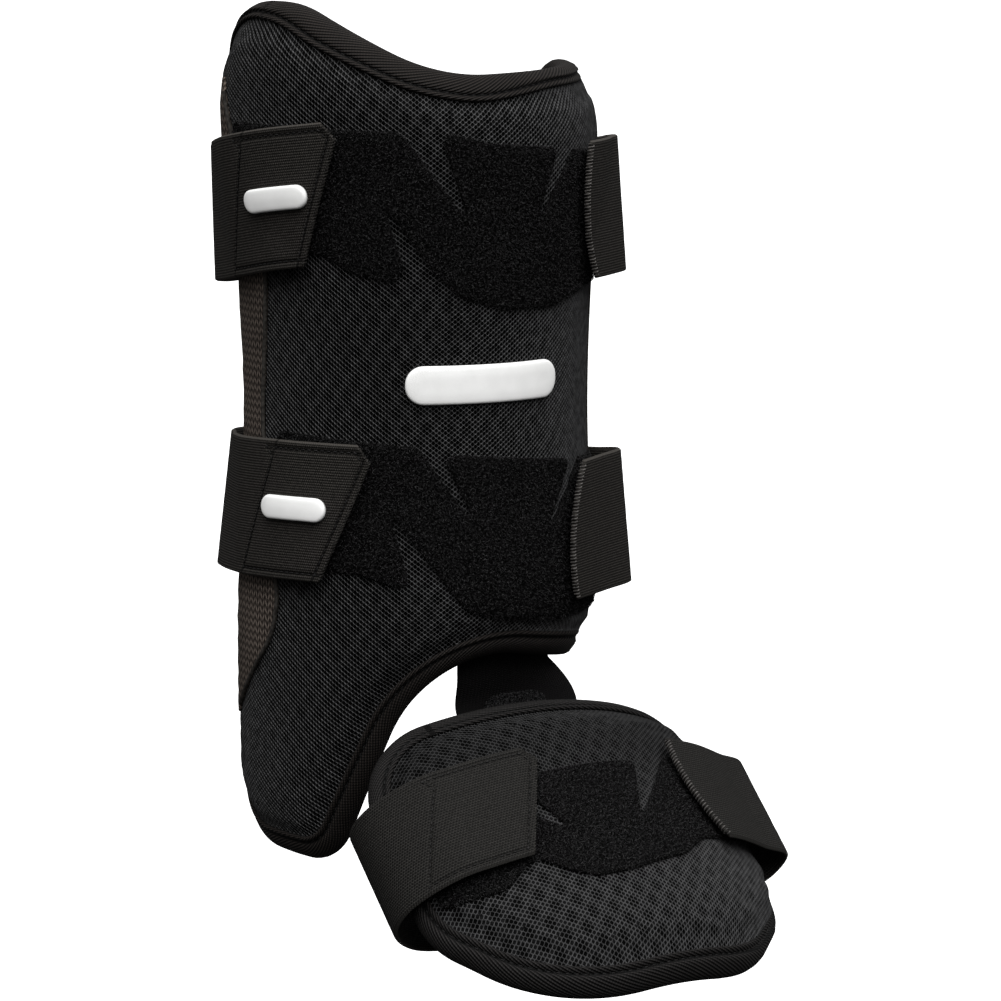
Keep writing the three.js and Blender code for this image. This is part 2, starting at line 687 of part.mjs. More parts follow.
addStrap('lower', LOWER_STRAP_PATH, LOWER_TAB_SLANT, LOWER_END, LOWER_TAB_BADGE);

// Tongue
const tongueRows = [];
for (let row = 0; row <= TONGUE_ROWS; row += 1) {
  const y = TONGUE_LENGTH * (row / TONGUE_ROWS - 1);
  tongueRows.push({ y, from: -TONGUE_WIDTH / 2, to: TONGUE_WIDTH / 2 });
}
add('tongue', ribbon(tongueRows, HOOK_COLUMNS, 0, WEBBING, tonguePoint), materials.webbing);
add('tongue_loop_tab', sheet(flatSheet(TONGUE_TAB), WEBBING + CLEAR, PILE, 1, tonguePoint), materials.pile);

// Foot piece
add('foot_pad', pad(FOOT_OUTLINE, FOOT_SQUEEZE, footPoint), materials.mesh);
add('foot_binding', binding(FOOT_OUTLINE, footPoint), materials.tape);
add('foot_loop_patch', sheet(flatSheet(FOOT_PATCH), CLEAR, PILE, FOOT_SQUEEZE, onFootPad), materials.pile);
const footStrap = footStrapBend();
const footBand = strapRows(footStrap.length, FOOT_STRAP_WIDTH, FOOT_TAB_SLANT, FOOT_END);
const footHookLeft = leftHookRows(HOOK_MARGIN, FOOT_HOOK_LENGTH, FOOT_STRAP_WIDTH, FOOT_TAB_SLANT);
const footHookEnd = footStrap.length - HOOK_MARGIN;
const footHookStart = footHookEnd - FOOT_HOOK_LENGTH * 0.5;
const footHookRight = rightHookRows(footHookStart, footHookEnd, FOOT_STRAP_WIDTH, FOOT_END);
const hookDrop = -CLEAR - HOOK;
add('foot_strap', ribbon(footBand, STRAP_COLUMNS, 0, WEBBING, footStrap.bend), materials.webbing);
add('foot_hook_left', ribbon(footHookLeft, HOOK_COLUMNS, hookDrop, HOOK, footStrap.bend), materials.hook);
add('foot_hook_right', ribbon(footHookRight, HOOK_COLUMNS, hookDrop, HOOK, footStrap.bend), materials.hook);

export default guard;
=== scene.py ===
# %% [markdown]
# # A batter's leg guard
# A batter straps this guard over the shin and the instep. Two foam pads are covered with black
# spacer mesh and bound with twill tape, an elastic tongue joins them, and three elastic straps with
# hook tabs hold them on the leg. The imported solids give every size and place. This lesson replaces each
# plain solid by a dressed piece: the foam is swelled by a cloth simulation, and net, pile, stitches and
# threads are repeated by Geometry Nodes.

# %% Load the frame
import json
import bpy
import numpy as np
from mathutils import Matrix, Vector
from mathutils.bvhtree import BVHTree
from mathutils.geometry import delaunay_2d_cdt

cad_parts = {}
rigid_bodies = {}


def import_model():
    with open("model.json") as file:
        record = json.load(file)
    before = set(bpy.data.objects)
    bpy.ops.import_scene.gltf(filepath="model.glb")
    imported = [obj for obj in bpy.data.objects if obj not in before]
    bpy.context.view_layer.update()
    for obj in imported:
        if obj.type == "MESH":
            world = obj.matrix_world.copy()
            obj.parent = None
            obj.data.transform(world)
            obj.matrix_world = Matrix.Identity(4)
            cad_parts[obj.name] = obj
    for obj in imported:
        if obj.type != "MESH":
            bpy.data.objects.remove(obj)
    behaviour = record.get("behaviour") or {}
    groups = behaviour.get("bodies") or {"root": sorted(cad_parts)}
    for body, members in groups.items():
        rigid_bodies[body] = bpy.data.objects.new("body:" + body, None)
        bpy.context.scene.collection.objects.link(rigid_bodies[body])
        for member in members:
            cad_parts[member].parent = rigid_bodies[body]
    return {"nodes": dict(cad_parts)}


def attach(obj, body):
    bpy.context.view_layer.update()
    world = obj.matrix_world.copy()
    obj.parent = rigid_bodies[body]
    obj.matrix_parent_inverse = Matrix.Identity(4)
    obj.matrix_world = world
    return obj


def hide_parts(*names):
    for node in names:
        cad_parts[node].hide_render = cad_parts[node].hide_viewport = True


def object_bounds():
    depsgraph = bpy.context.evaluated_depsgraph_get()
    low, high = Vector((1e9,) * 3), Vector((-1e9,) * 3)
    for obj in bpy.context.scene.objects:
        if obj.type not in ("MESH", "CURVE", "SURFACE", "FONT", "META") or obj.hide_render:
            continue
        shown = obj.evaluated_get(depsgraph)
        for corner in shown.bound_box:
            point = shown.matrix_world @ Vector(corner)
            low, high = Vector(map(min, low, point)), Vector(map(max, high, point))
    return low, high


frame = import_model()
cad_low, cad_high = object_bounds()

MM = 0.001
print("solids in the frame:", len(frame["nodes"]), "box", [round(v, 3) for v in (*cad_low, *cad_high)])

# %% [markdown]
# ## One flat pattern, two curved surfaces
# A leg guard is cut flat and then bent, so it is drawn flat here too, in millimetres. The shin pattern
# wraps round a waisted cylinder on the leg's axis. The foot pattern lies over an arch that slopes down
# to the toes. Each surface has a function from a flat place and a height over the lining to a point in
# space, and its inverse, which later gives every cloth its own flat coordinates.

# %% Sizes of the two surfaces
PAD_THICKNESS = 14.0
FLAT_RADIUS = 61.0
WAIST_RADIUS = 60.3
WAIST_HEIGHT = 85.0
TOP_FLARE, TOP_FLARE_SPAN = 4.3, 110.0
LOW_FLARE, LOW_FLARE_SPAN = 2.7, 80.0
WING_FLARE = 3.0
WING_START_UP, WING_SPAN_UP = 130.0, 60.0
WING_START_ROUND, WING_SPAN_ROUND = 60.0, 55.0
FOOT_TOP = np.array([6.0, -54.0, -14.0])
FOOT_SLOPE = np.radians(39.0)
FOOT_ARCH_RADIUS = 110.0
FOOT_BEND_RADIUS = 700.0
FOOT_ACROSS = np.array([1.0, 0.0, 0.0])
FOOT_TO_ANKLE = np.array([0.0, np.cos(FOOT_SLOPE), np.sin(FOOT_SLOPE)])
FOOT_UP = np.array([0.0, -np.sin(FOOT_SLOPE), np.cos(FOOT_SLOPE)])


# %% From flat places to space and back
def rise(value, start, span):
    """0 up to the start, 1 from a span further on and a smooth step between them."""
    part = np.clip((value - start) / span, 0.0, 1.0)
    return part * part * (3.0 - 2.0 * part)


def lining_radius(x, y):
    above = TOP_FLARE * rise(y, WAIST_HEIGHT, TOP_FLARE_SPAN)
    below = LOW_FLARE * rise(-y, -WAIST_HEIGHT, LOW_FLARE_SPAN)
    wing = rise(y, WING_START_UP, WING_SPAN_UP) * rise(-x, WING_START_ROUND, WING_SPAN_ROUND)
    return WAIST_RADIUS - PAD_THICKNESS + above + below + WING_FLARE * wing


def shin_point(x, y, height):
    radius = lining_radius(x, y) + height
    turn = x / FLAT_RADIUS
    return np.stack([radius * np.sin(turn), -radius * np.cos(turn), y + 0.0 * radius], axis=-1)


def shin_flat(points):
    x = np.arctan2(points[:, 0], -points[:, 1]) * FLAT_RADIUS
    y = points[:, 2]
    return x, y, np.hypot(points[:, 0], points[:, 1]) - lining_radius(x, y)


def foot_place(across, drop, along):
    axes = np.stack([FOOT_ACROSS, FOOT_UP, FOOT_TO_ANKLE])
    return FOOT_TOP + np.stack([across, drop, along], axis=-1) @ axes


def foot_point(x, y, height):
    arch = x / FOOT_ARCH_RADIUS
    bend = y / FOOT_BEND_RADIUS
    reach = FOOT_ARCH_RADIUS + height
    drop = reach * np.cos(arch) - FOOT_ARCH_RADIUS + FOOT_BEND_RADIUS * (np.cos(bend) - 1.0)
    return foot_place(reach * np.sin(arch), drop, FOOT_BEND_RADIUS * np.sin(bend) + 0.0 * reach)


def foot_flat(points):
    rest = points - FOOT_TOP
    bend = np.arcsin(np.clip(rest @ FOOT_TO_ANKLE / FOOT_BEND_RADIUS, -1.0, 1.0))
    drop = rest @ FOOT_UP - FOOT_BEND_RADIUS * (np.cos(bend) - 1.0) + FOOT_ARCH_RADIUS
    across = rest @ FOOT_ACROSS
    arch = np.arctan2(across, drop)
    return arch * FOOT_ARCH_RADIUS, bend * FOOT_BEND_RADIUS, np.hypot(across, drop) - FOOT_ARCH_RADIUS


probe = np.array([[20.0, 40.0, 9.0]])
there_and_back = np.array(shin_flat(shin_point(*probe.T))).ravel()
print("shin pattern there and back:", there_and_back.round(6))

# %% [markdown]
# ## Rounded outlines
# Pads, patches and panels are polygons with rounded corners. A short table gives each corner's place and
# rounding, and one function turns it into points. Moving every side inwards keeps the number of points,
# so rings at different insets can be joined by quads without any searching.


# %% Outline functions
OUTLINE_STEP = 3.0
SMALLEST_ROUNDING = 0.5
FILL_ROW, FILL_MARGIN = 0.87, 0.55


def fillets(corners, inset):
    points = np.array([row[:2] for row in corners], float)
    sides = np.roll(points, -1, axis=0) - points
    sides /= np.linalg.norm(sides, axis=1)[:, None]
    found = []
    for (x, y, rounding), before, after in zip(corners, np.roll(sides, 1, axis=0), sides):
        turn = np.arctan2(before[0] * after[1] - before[1] * after[0], before @ after)
        half = np.tan(turn / 2.0)
        left = np.array([-before[1], before[0]])
        tip = np.array([x, y]) + left * inset - before * inset * half
        radius = max(rounding - np.sign(turn) * inset, SMALLEST_ROUNDING)
        reach = radius * abs(half)
        start = tip - before * reach
        found.append({"start": start, "end": tip + after * reach, "turn": turn, "radius": radius,
                      "centre": start + left * np.sign(turn) * radius})
    return found


def rounded_outline(corners, inset=0.0, step=OUTLINE_STEP):
    base = fillets(corners, 0.0)
    moved = fillets(corners, inset)
    points = []
    for i, (was, now) in enumerate(zip(base, moved)):
        arcs = max(1, int(np.ceil(was["radius"] * abs(was["turn"]) / step)))
        spoke = now["start"] - now["centre"]
        for angle in now["turn"] * np.linspace(0.0, 1.0, arcs + 1):
            c, s = np.cos(angle), np.sin(angle)
            points.append(now["centre"] + [c * spoke[0] - s * spoke[1], s * spoke[0] + c * spoke[1]])
        after = (i + 1) % len(corners)
        run = np.linalg.norm(base[after]["start"] - was["end"])
        runs = max(1, int(np.ceil(run / step)))
        for part in np.arange(1, runs) / runs:
            points.append(now["end"] * (1.0 - part) + moved[after]["start"] * part)
    return np.array(points)


def from_segment(spots, a, b):
    """Distance of flat places from the straight line between two points."""
    along = np.clip((spots - a) @ (b - a) / max((b - a) @ (b - a), 1e-12), 0.0, 1.0)
    return np.hypot(*np.moveaxis(spots - a - along[..., None] * (b - a), -1, 0))


def edge_distance(outline, x, y):
    """Distance in from an outline, negative outside it."""
    spots = np.stack([np.ravel(x), np.ravel(y)], axis=-1)
    nearest = np.full(len(spots), np.inf)
    inside = np.zeros(len(spots), bool)
    for a, b in zip(outline, np.roll(outline, -1, axis=0)):
        nearest = np.minimum(nearest, from_segment(spots, a, b))
        if a[1] != b[1]:
            crossing = a[0] + (spots[:, 1] - a[1]) / (b[1] - a[1]) * (b[0] - a[0])
            inside ^= ((a[1] > spots[:, 1]) != (b[1] > spots[:, 1])) & (spots[:, 0] < crossing)
    return np.where(inside, nearest, -nearest).reshape(np.shape(x))


def filled(ring, step):
    """Points and triangles that fill a closed ring; the ring's own points come first."""
    low, high = ring.min(axis=0), ring.max(axis=0)
    rows = np.arange(low[1], high[1], step * FILL_ROW)
    columns = np.arange(low[0], high[0], step)
    spread = columns[None, :] + (np.arange(len(rows)) % 2)[:, None] * step / 2.0
    x, y = spread.ravel(), np.repeat(rows, len(columns))
    keep = edge_distance(ring, x, y) > FILL_MARGIN * step
    points = np.concatenate([ring, np.stack([x[keep], y[keep]], axis=-1)])
    loop = list(range(len(ring)))
    made = delaunay_2d_cdt([Vector(p) for p in points], [], [loop], 1, 1e-6)
    origin = [ids[0] for ids in made[3]]
    return points, [[origin[i] for i in face] for face in made[2]]


# %% Outlines laid flat: x, y, rounding of each corner
SHIN_OUTLINE = [
    (-128, 221.5, 36), (-128, -65, 34), (-65, -67, 17), (-27, 10, 50),
    (102, -10, 24), (102, 200, 24), (-22, 197, 90), (-78, 221, 44),
]
FOOT_OUTLINE = [
    (-61, -5, 26), (-63, -78, 30), (-31, -118, 56), (46, -112, 54), (84, -84, 22), (74, -5, 26),
]
LEFT_PANEL = [
    (-108, 202, 1.5), (-117, 150, 90), (-117, 40, 120), (-112, -24, 1.5), (-80, 14, 30), (-92, 82, 90),
    (-86.5, 132, 30),
]
RIGHT_PANEL = [(92, 184, 1.5), (71, 138, 40), (71, 52, 40), (92, 6, 1.5)]
UPPER_PATCH = [
    (-101, 183, 3), (-86, 142, 3), (-63, 140, 6), (-51, 134, 8), (-38, 131.5, 3), (-35, 136, 2),
    (-42, 158, 0.8), (-25, 134, 4), (-16, 126, 8), (-1, 121.5, 14), (20, 121, 14), (44, 126, 8),
    (66, 127, 3), (66, 171, 3), (28.5, 173.5, 2), (11, 149, 0.8), (20, 174.5, 2), (-7, 177, 20),
    (-24, 181.5, 3), (-13.5, 150, 0.8), (-36, 181, 4),
]
LOWER_PATCH = [
    (-84, 80, 3), (-79.5, 35, 3), (-51, 33.5, 10), (-43, 31, 6), (-33, 28, 3), (-40.5, 55, 0.8),
    (-15, 21, 5), (-1, 16.5, 12), (28, 13.5, 20), (66, 14, 3), (66, 66, 3), (41, 67.5, 2),
    (15.5, 42.5, 0.8), (33, 68, 2), (7, 71, 20), (-23, 74, 3), (-8.5, 45, 0.8), (-31, 76.5, 4),
]
FOOT_PATCH = [
    (-56, -42, 3), (-55, -74, 4), (-36, -78, 8), (-24, -69, 6), (-16, -77, 6), (-8, -81.5, 10),
    (5, -81, 14), (27, -76, 10), (38, -69, 6), (58, -66, 3), (58, -36, 3), (38, -35, 2),
    (15.5, -62.5, 0.8), (24, -38, 2), (10, -38.5, 10), (-21, -39.7, 2), (-9, -63.5, 0.8), (-34, -40.3, 2),
]
shin_edge = rounded_outline(SHIN_OUTLINE)
foot_edge = rounded_outline(FOOT_OUTLINE)
print("outline points: shin", len(shin_edge), "foot", len(foot_edge))

# %% [markdown]
# ## A small kit for shaders
# A finish is worked out from each cloth's own flat coordinates, in millimetres. Shader maths is easier to
# read as Python, so one class wraps a socket and gives it operators, and another makes any node from its
# type, its settings and its sockets.


# %% Node kit
class Wire:
    """One output socket, with operators that add Math nodes."""

    def __init__(self, graph, socket):
        self.graph = graph
        self.socket = socket

    def maths(self, operation, *values):
        return self.graph.node("ShaderNodeMath", {"operation": operation}, dict(enumerate(values)))

    def __add__(self, other):
        return self.maths("ADD", self, other)

    def __sub__(self, other):
        return self.maths("SUBTRACT", self, other)

    def __rsub__(self, other):
        return self.maths("SUBTRACT", other, self)

    def __mul__(self, other):
        return self.maths("MULTIPLY", self, other)

    def __truediv__(self, other):
        return self.maths("DIVIDE", self, other)

    __radd__ = __add__
    __rmul__ = __mul__

    def wave(self):
        """1 at every whole number and 0 half way between them."""
        return self.maths("COSINE", self * (2.0 * np.pi)) * 0.5 + 0.5

    def floor(self):
        return self.maths("FLOOR", self)

    def fraction(self):
        return self.maths("FRACT", self)

    def absolute(self):
        return self.maths("ABSOLUTE", self)

    def between(self, low, high):
        """0 below low, 1 above high and a smooth rise between them."""
        settings = {"interpolation_type": "SMOOTHSTEP"}
        return self.graph.node("ShaderNodeMapRange", settings, {0: self, 1: low, 2: high, 3: 0.0, 4: 1.0})


class Graph:
    """A node tree that is filled from Python."""

    def __init__(self, tree):
        self.tree = tree

    def node(self, kind, settings=None, sockets=None, output=0):
        made = self.tree.nodes.new(kind)
        for name, value in (settings or {}).items():
            setattr(made, name, value)
        for name, value in (sockets or {}).items():
            self.feed(made.inputs[name], value)
        return Wire(self, made.outputs[output]) if made.outputs else None

    def feed(self, socket, value):
        if isinstance(value, Wire):
            self.tree.links.new(value.socket, socket)
        else:
            socket.default_value = value


class Finish(Graph):
    """One cloth's material. Its flat coordinates u and v are in millimetres."""

    def __init__(self, name):
        self.material = bpy.data.materials.new(name)
        self.material.use_nodes = True
        super().__init__(self.material.node_tree)
        self.tree.nodes.clear()

    def flat(self):
        place = self.node("ShaderNodeUVMap", {"uv_map": "cloth"})
        parts = self.tree.nodes.new("ShaderNodeSeparateXYZ")
        self.feed(parts.inputs[0], place)
        return Wire(self, parts.outputs[0]), Wire(self, parts.outputs[1])

    def noise(self, scale, detail=2.0, where=None):
        place = where or self.node("ShaderNodeTexCoord", output=3)
        return self.node("ShaderNodeTexNoise", None, {"Vector": place, "Scale": scale, "Detail": detail})

    def mix(self, part, first, second):
        settings = {"data_type": "RGBA"}
        return self.node("ShaderNodeMix", settings, {0: part, 6: (*first, 1.0), 7: (*second, 1.0)}, 2)

    def surface(self, colour, roughness, height=None, depth=0.2, specular=0.15, sheen=0.0, coat=0.0):
        sockets = {"Roughness": roughness, "Specular IOR Level": specular, "Sheen Weight": sheen,
                   "Coat Weight": coat, "Base Color": colour}
        if height is not None:
            bump = self.node("ShaderNodeBump", None, {"Distance": depth * MM, "Height": height})
            sockets["Normal"] = bump
        shader = self.node("ShaderNodeBsdfPrincipled", None, sockets)
        self.node("ShaderNodeOutputMaterial", None, {"Surface": shader})
        return self.material


# %% [markdown]
# ## The finishes
# Everything is black, but no two blacks are alike. The net's threads are smooth polyester, and a painted
# highlight shows the ones on top as slanting dashes. The mesh has two layers, and where they line up its
# holes open in clusters.
# The tape is a twill with slanting ribs, the pile swallows light, the elastic is a fine plaid of ribs
# and weft, and the side panel is a warm brown-black knit. Each finish mixes two close colours by the
# pattern of its own cloth, and most give the same pattern to their bump. The net, the tape, the tabs and
# the tongue also carry painted shade, and the net carries painted highlights too.


# %% Net, foam cover and lining
NET_CELL = (2.12, 1.65)
CLUSTER_ACROSS, CLUSTER_UP = 6.9, 10.3
CLUSTER_SHUT, CLUSTER_OPEN = 0.02, 0.5
# spans of the painted highlight on both slants and of the painted shade towards the top
BOTH_GLINT_SPAN, TOP_SHADE_SPAN = 30.0, 45.0
UNDER_ACROSS, UNDER_UP = 1.35, 1.05
LINING_ACROSS, LINING_UP = 1.1, 0.8


def open_clusters(u, v):
    """1 where the two layers of the net line up and its holes are open, 0 where they cross."""
    first = (u / CLUSTER_ACROSS + v / CLUSTER_UP).wave()
    second = (u / CLUSTER_ACROSS - v / CLUSTER_UP).wave()
    return (first * second).between(CLUSTER_SHUT, CLUSTER_OPEN)


def net_thread_finish(name, dark, light, lean, both_glint_from, clustered, uneven, top_shade_from, top_shade_share, shine):
    """Painted highlights on the threads as dashes along one slant of the lattice, and along both slants
    further across, mixed with the clusters of the two layers; painted shade darkens the net towards the top.
    """
    cloth = Finish(name)
    u, v = cloth.flat()
    first = (u / NET_CELL[0] + v * lean / NET_CELL[1]).wave()
    second = (u / NET_CELL[0] - v * lean / NET_CELL[1]).wave()
    # painted highlight on the threads: dashes along one slant, and on both slants further across
    both_slant_glint = u.between(both_glint_from, both_glint_from + BOTH_GLINT_SPAN) * 0.7
    painted_glint_dashes = (1.0 - first) * (second * 0.6 + 0.4) + (1.0 - second) * both_slant_glint
    crossed = 1.0 - open_clusters(u, v)
    blotches = cloth.noise(420.0, 3.0).between(0.3, 0.7) * uneven + (0.75 - 0.5 * uneven)
    tone = (painted_glint_dashes * (1.0 - clustered) + crossed * clustered) * blotches
    # painted shade: the threads grow darker towards the top of the piece
    painted_top_shade = 1.0 - v.between(top_shade_from, top_shade_from + TOP_SHADE_SPAN) * top_shade_share
    fibres = cloth.noise(2600.0, 1.0)
    colour = cloth.mix(tone * painted_top_shade, dark, light)
    return cloth.surface(colour, fibres * 0.2 + 0.42, fibres, 0.06, specular=shine)


def under_net_finish(name, thread, gap):
    """The second layer under the first: black where the holes are open, fine threads where they cross."""
    cloth = Finish(name)
    u, v = cloth.flat()
    threads = (u / UNDER_ACROSS).wave() * 0.5 + (v / UNDER_UP).wave() * 0.5
    crossed = (1.0 - open_clusters(u, v)) * (threads * 0.7 + 0.3)
    colour = cloth.mix(crossed, gap, thread)
    return cloth.surface(colour, crossed * -0.2 + 0.9, crossed, 0.25, specular=0.04)


def lining_finish():
    cloth = Finish("lining_knit")
    u, v = cloth.flat()
    ribs = (u / LINING_ACROSS).wave() * (v / LINING_UP).wave()
    colour = cloth.mix(ribs, (0.003, 0.003, 0.0033), (0.009, 0.009, 0.0095))
    return cloth.surface(colour, ribs * -0.1 + 0.9, ribs, 0.12, specular=0.06, sheen=0.04)


shin_thread = net_thread_finish(
    "shin_net_thread", (0.0015, 0.0015, 0.0016), (0.048, 0.048, 0.0493),
    lean=1.0, both_glint_from=-45.0, clustered=0.12, uneven=0.8, top_shade_from=300.0, top_shade_share=0.0, shine=0.3)
# the foot's net has painted shade towards its top, near the ankle
foot_thread = net_thread_finish(
    "foot_net_thread", (0.003, 0.003, 0.0031), (0.04, 0.04, 0.041),
    lean=-1.0, both_glint_from=-200.0, clustered=0.27, uneven=0.4, top_shade_from=-70.0, top_shade_share=0.8, shine=0.16)
shin_under = under_net_finish("shin_under_net", (0.0035, 0.0035, 0.0036), (0.0004, 0.0004, 0.0004))
foot_under = under_net_finish("foot_under_net", (0.0055, 0.0055, 0.0057), (0.0006, 0.0006, 0.0006))
lining = lining_finish()


# %% Tape, pile, webbing, knit, hook, badge and thread
TWILL_RIB, TWILL_BEAD = 2.4, 1.1
GROOVE_AT = 4.14
TAB_CHAMFER, TAB_CHAMFER_DEPTH = 6.0, 4.6
TAB_LENGTH = 37.0
HEM = 2.6
# width of the painted shade in the middle of a seam and at its sides
SEAM_CORE, SEAM_SIDE = 0.2, 0.8
KNIT_COLUMN, KNIT_LOOP = 1.4, 2.5
STRAP_WIDTH, FOOT_STRAP_WIDTH, TONGUE_WIDTH = 47.0, 40.0, 53.0
TONGUE_RIB = 1.3


def twill_finish(name, dark, light, lean):
    """Slanting ribs of beaded thread, with painted shade in the sewn groove and at the foot of the lip; v
    runs from the tape's lip over its sewn groove to the edge.
    """
    cloth = Finish(name)
    u, v = cloth.flat()
    ribs = ((u + v * lean) / TWILL_RIB).wave()
    beads = ((u - v * lean * 0.2) / TWILL_BEAD).wave()
    patchy = cloth.noise(140.0)
    # painted shade: darker in the sewn groove and at the foot of the lip
    seam = (v - GROOVE_AT).absolute().between(0.3, 1.1) * v.between(0.3, 1.0)
    tone = ribs * (beads * 0.35 + 0.65) * (patchy * 0.6 + 0.7) * seam
    colour = cloth.mix(tone, dark, light)
    return cloth.surface(colour, ribs * -0.15 + 0.75, ribs + beads * 0.25, 0.35, specular=0.12)


def pile_finish(name, dark, light):
    cloth = Finish(name)
    curls = cloth.noise(1700.0, 3.0)
    patchy = cloth.noise(60.0)
    colour = cloth.mix(curls.between(0.42, 0.7) * (patchy + 0.4), dark, light)
    return cloth.surface(colour, curls * 0.1 + 0.88, curls, 0.9, specular=0.02)


def sewn_shade(u, v, width, slant):
    """Painted shade along the sewn grooves of a tab: 0 in the seams and 1 elsewhere: beside its end, where it
    joins the band, and at both hems.
    """
    back = u - (width / 2.0 - TAB_CHAMFER - v) * (slant / (width - TAB_CHAMFER))
    beside, joined, hems = [
        (place - seam).absolute().between(SEAM_CORE, SEAM_SIDE)
        for place, seam in ((back, HEM), (back, TAB_LENGTH), (v.absolute(), width / 2.0 - HEM))]
    beyond = back.between(TAB_LENGTH, TAB_LENGTH + 1.0)
    return beside * joined * (1.0 - (1.0 - hems) * (1.0 - beyond))


def webbing_finish(name, dark, light, width, rib=0.9, weft=0.8, slant=0.0, seam=0.0):
    """A fine plaid of ribs and weft, with a paler selvedge and painted shade along the sewn seams of a tab.
    """
    cloth = Finish(name)
    u, v = cloth.flat()
    across = (v / rib).wave()
    along = (u / weft + (v / rib).floor() * 0.5).wave()
    plaid = across * 0.3 + along * 0.3 + across * along * 0.6
    patchy = cloth.noise(1300.0, 3.0)
    selvedge = v.absolute().between(width / 2.0 - 0.8, width / 2.0 - 0.3)
    # painted shade along the tab's seams, as strong as seam says
    shade = sewn_shade(u, v, width, slant) * seam + (1.0 - seam)
    colour = cloth.mix((plaid * (patchy * 1.7) + selvedge * 0.7) * shade, dark, light)
    return cloth.surface(colour, plaid * -0.12 + 0.82, plaid + patchy * 0.6, 0.24, specular=0.08)


def knit_finish():
    """Columns of slanting loops, every second column leaning the other way."""
    cloth = Finish("side_knit")
    u, v = cloth.flat()
    column = u / KNIT_COLUMN
    within = column.fraction() - 0.5
    lean = ((column.floor() * 0.5).fraction() - 0.25) * 4.0
    loops = (v / KNIT_LOOP + within * lean * 0.8).wave()
    gutter = 1.0 - within.absolute().between(0.32, 0.5)
    relief = loops * 0.5 * gutter + gutter * 0.5
    tone = cloth.noise(45.0)
    colour = cloth.mix(relief * relief * (tone * 0.8 + 0.4), (0.0025, 0.0021, 0.0018), (0.155, 0.126, 0.107))
    return cloth.surface(colour, relief * -0.1 + 0.85, relief, 0.6, specular=0.06)


def plain_finish(name, dark, light, scale, rough, depth, specular, coat=0.0):
    """Fine grain between two colours."""
    cloth = Finish(name)
    grain = cloth.noise(scale, 3.0)
    colour = cloth.mix(grain.between(0.3, 0.7), dark, light)
    return cloth.surface(colour, grain * 0.15 + rough, grain, depth, specular, coat=coat)


tape = twill_finish("twill_tape", (0.0008, 0.0007, 0.0007), (0.023, 0.019, 0.0168), 2.1)
foot_tape = twill_finish("foot_twill_tape", (0.001, 0.001, 0.001), (0.019, 0.0172, 0.0167), -2.1)
pile = pile_finish("loop_pile", (0.0008, 0.0008, 0.0008), (0.011, 0.0108, 0.011))
# seam sets how strong the painted shade along each tab's seams is
webbing = webbing_finish("elastic_webbing", (0.002, 0.0019, 0.0017), (0.047, 0.0431, 0.0388),
                         STRAP_WIDTH, slant=17.7, seam=0.8)
foot_webbing = webbing_finish("foot_webbing", (0.002, 0.0019, 0.0018), (0.03, 0.0286, 0.0265),
                              FOOT_STRAP_WIDTH, weft=1.0, slant=15.5, seam=0.3)
# The tongue's elastic is coloured far darker than the straps': partly its own black, partly painted shade for
# where it lies under the pads.
tongue_webbing = webbing_finish("tongue_elastic", (0.0008, 0.0006, 0.0007), (0.0035, 0.003, 0.0032),
                                TONGUE_WIDTH, rib=TONGUE_RIB)
knit = knit_finish()
# after the two colours: scale of the grain, roughness, depth of the bump, specular
fibre = plain_finish("pile_fibre", (0.001, 0.001, 0.001), (0.043, 0.0421, 0.043), 1500.0, 0.7, 0.02, 0.05)
hook = plain_finish("hook_plastic", (0.002, 0.002, 0.002), (0.006, 0.006, 0.006), 500.0, 0.45, 0.05, 0.2)
badge = plain_finish("white_rubber", (0.86, 0.86, 0.85), (0.9, 0.9, 0.89), 160.0, 0.32, 0.02, 0.45, coat=0.15)
thread = plain_finish("sewing_thread", (0.003, 0.003, 0.003), (0.013, 0.012, 0.012), 900.0, 0.55, 0.05, 0.2)
edge_thread = plain_finish("edge_thread", (0.006, 0.0055, 0.005), (0.04, 0.037, 0.034),
                           800.0, 0.6, 0.05, 0.15)
pale_thread = plain_finish("overlock_thread", (0.03, 0.0285, 0.027), (0.12, 0.112, 0.106),
                           800.0, 0.6, 0.05, 0.2)
piping = plain_finish("piping_cord", (0.012, 0.011, 0.0098), (0.04, 0.0366, 0.033), 700.0, 0.7, 0.1, 0.1)
print("finishes:", len(bpy.data.materials))


# %% [markdown]
# ## A small kit for pieces
# Every mesh is made from arrays of points in millimetres. A grid of points becomes quads, and each
# finished piece rides on the one body and hides any plain
# solid it stands for.


# %% Mesh kit
def add_object(name, data):
    item = bpy.data.objects.new(name, data)
    bpy.context.scene.collection.objects.link(item)
    return item


def mesh_piece(name, points, faces, materials, flat=None):
    mesh = bpy.data.meshes.new(name)
    mesh.from_pydata((np.asarray(points) * MM).tolist(), [], [list(map(int, face)) for face in faces])
    for material in materials:
        mesh.materials.append(material)
    mesh.polygons.foreach_set("use_smooth", np.ones(len(mesh.polygons), bool))
    if flat is not None:
        lay_flat(mesh, flat)
    mesh.update()
    return add_object(name, mesh)


def lay_flat(mesh, flat):
    """Gives a mesh its flat coordinates, in millimetres, one pair for each vertex."""
    corners = np.empty(len(mesh.loops), np.int32)
    mesh.loops.foreach_get("vertex_index", corners)
    layer = mesh.uv_layers.new(name="cloth")
    layer.data.foreach_set("uv", np.asarray(flat, np.float32)[corners].ravel())


def grid_faces(rows, columns, close_rows=False, close_columns=False):
    r = np.arange(rows if close_rows else rows - 1)[:, None]
    c = np.arange(columns if close_columns else columns - 1)[None, :]
    after_r, after_c = (r + 1) % rows, (c + 1) % columns
    corners = [r * columns + c, r * columns + after_c, after_r * columns + after_c, after_r * columns + c]
    return np.stack(np.broadcast_arrays(*corners), axis=-1).reshape(-1, 4)


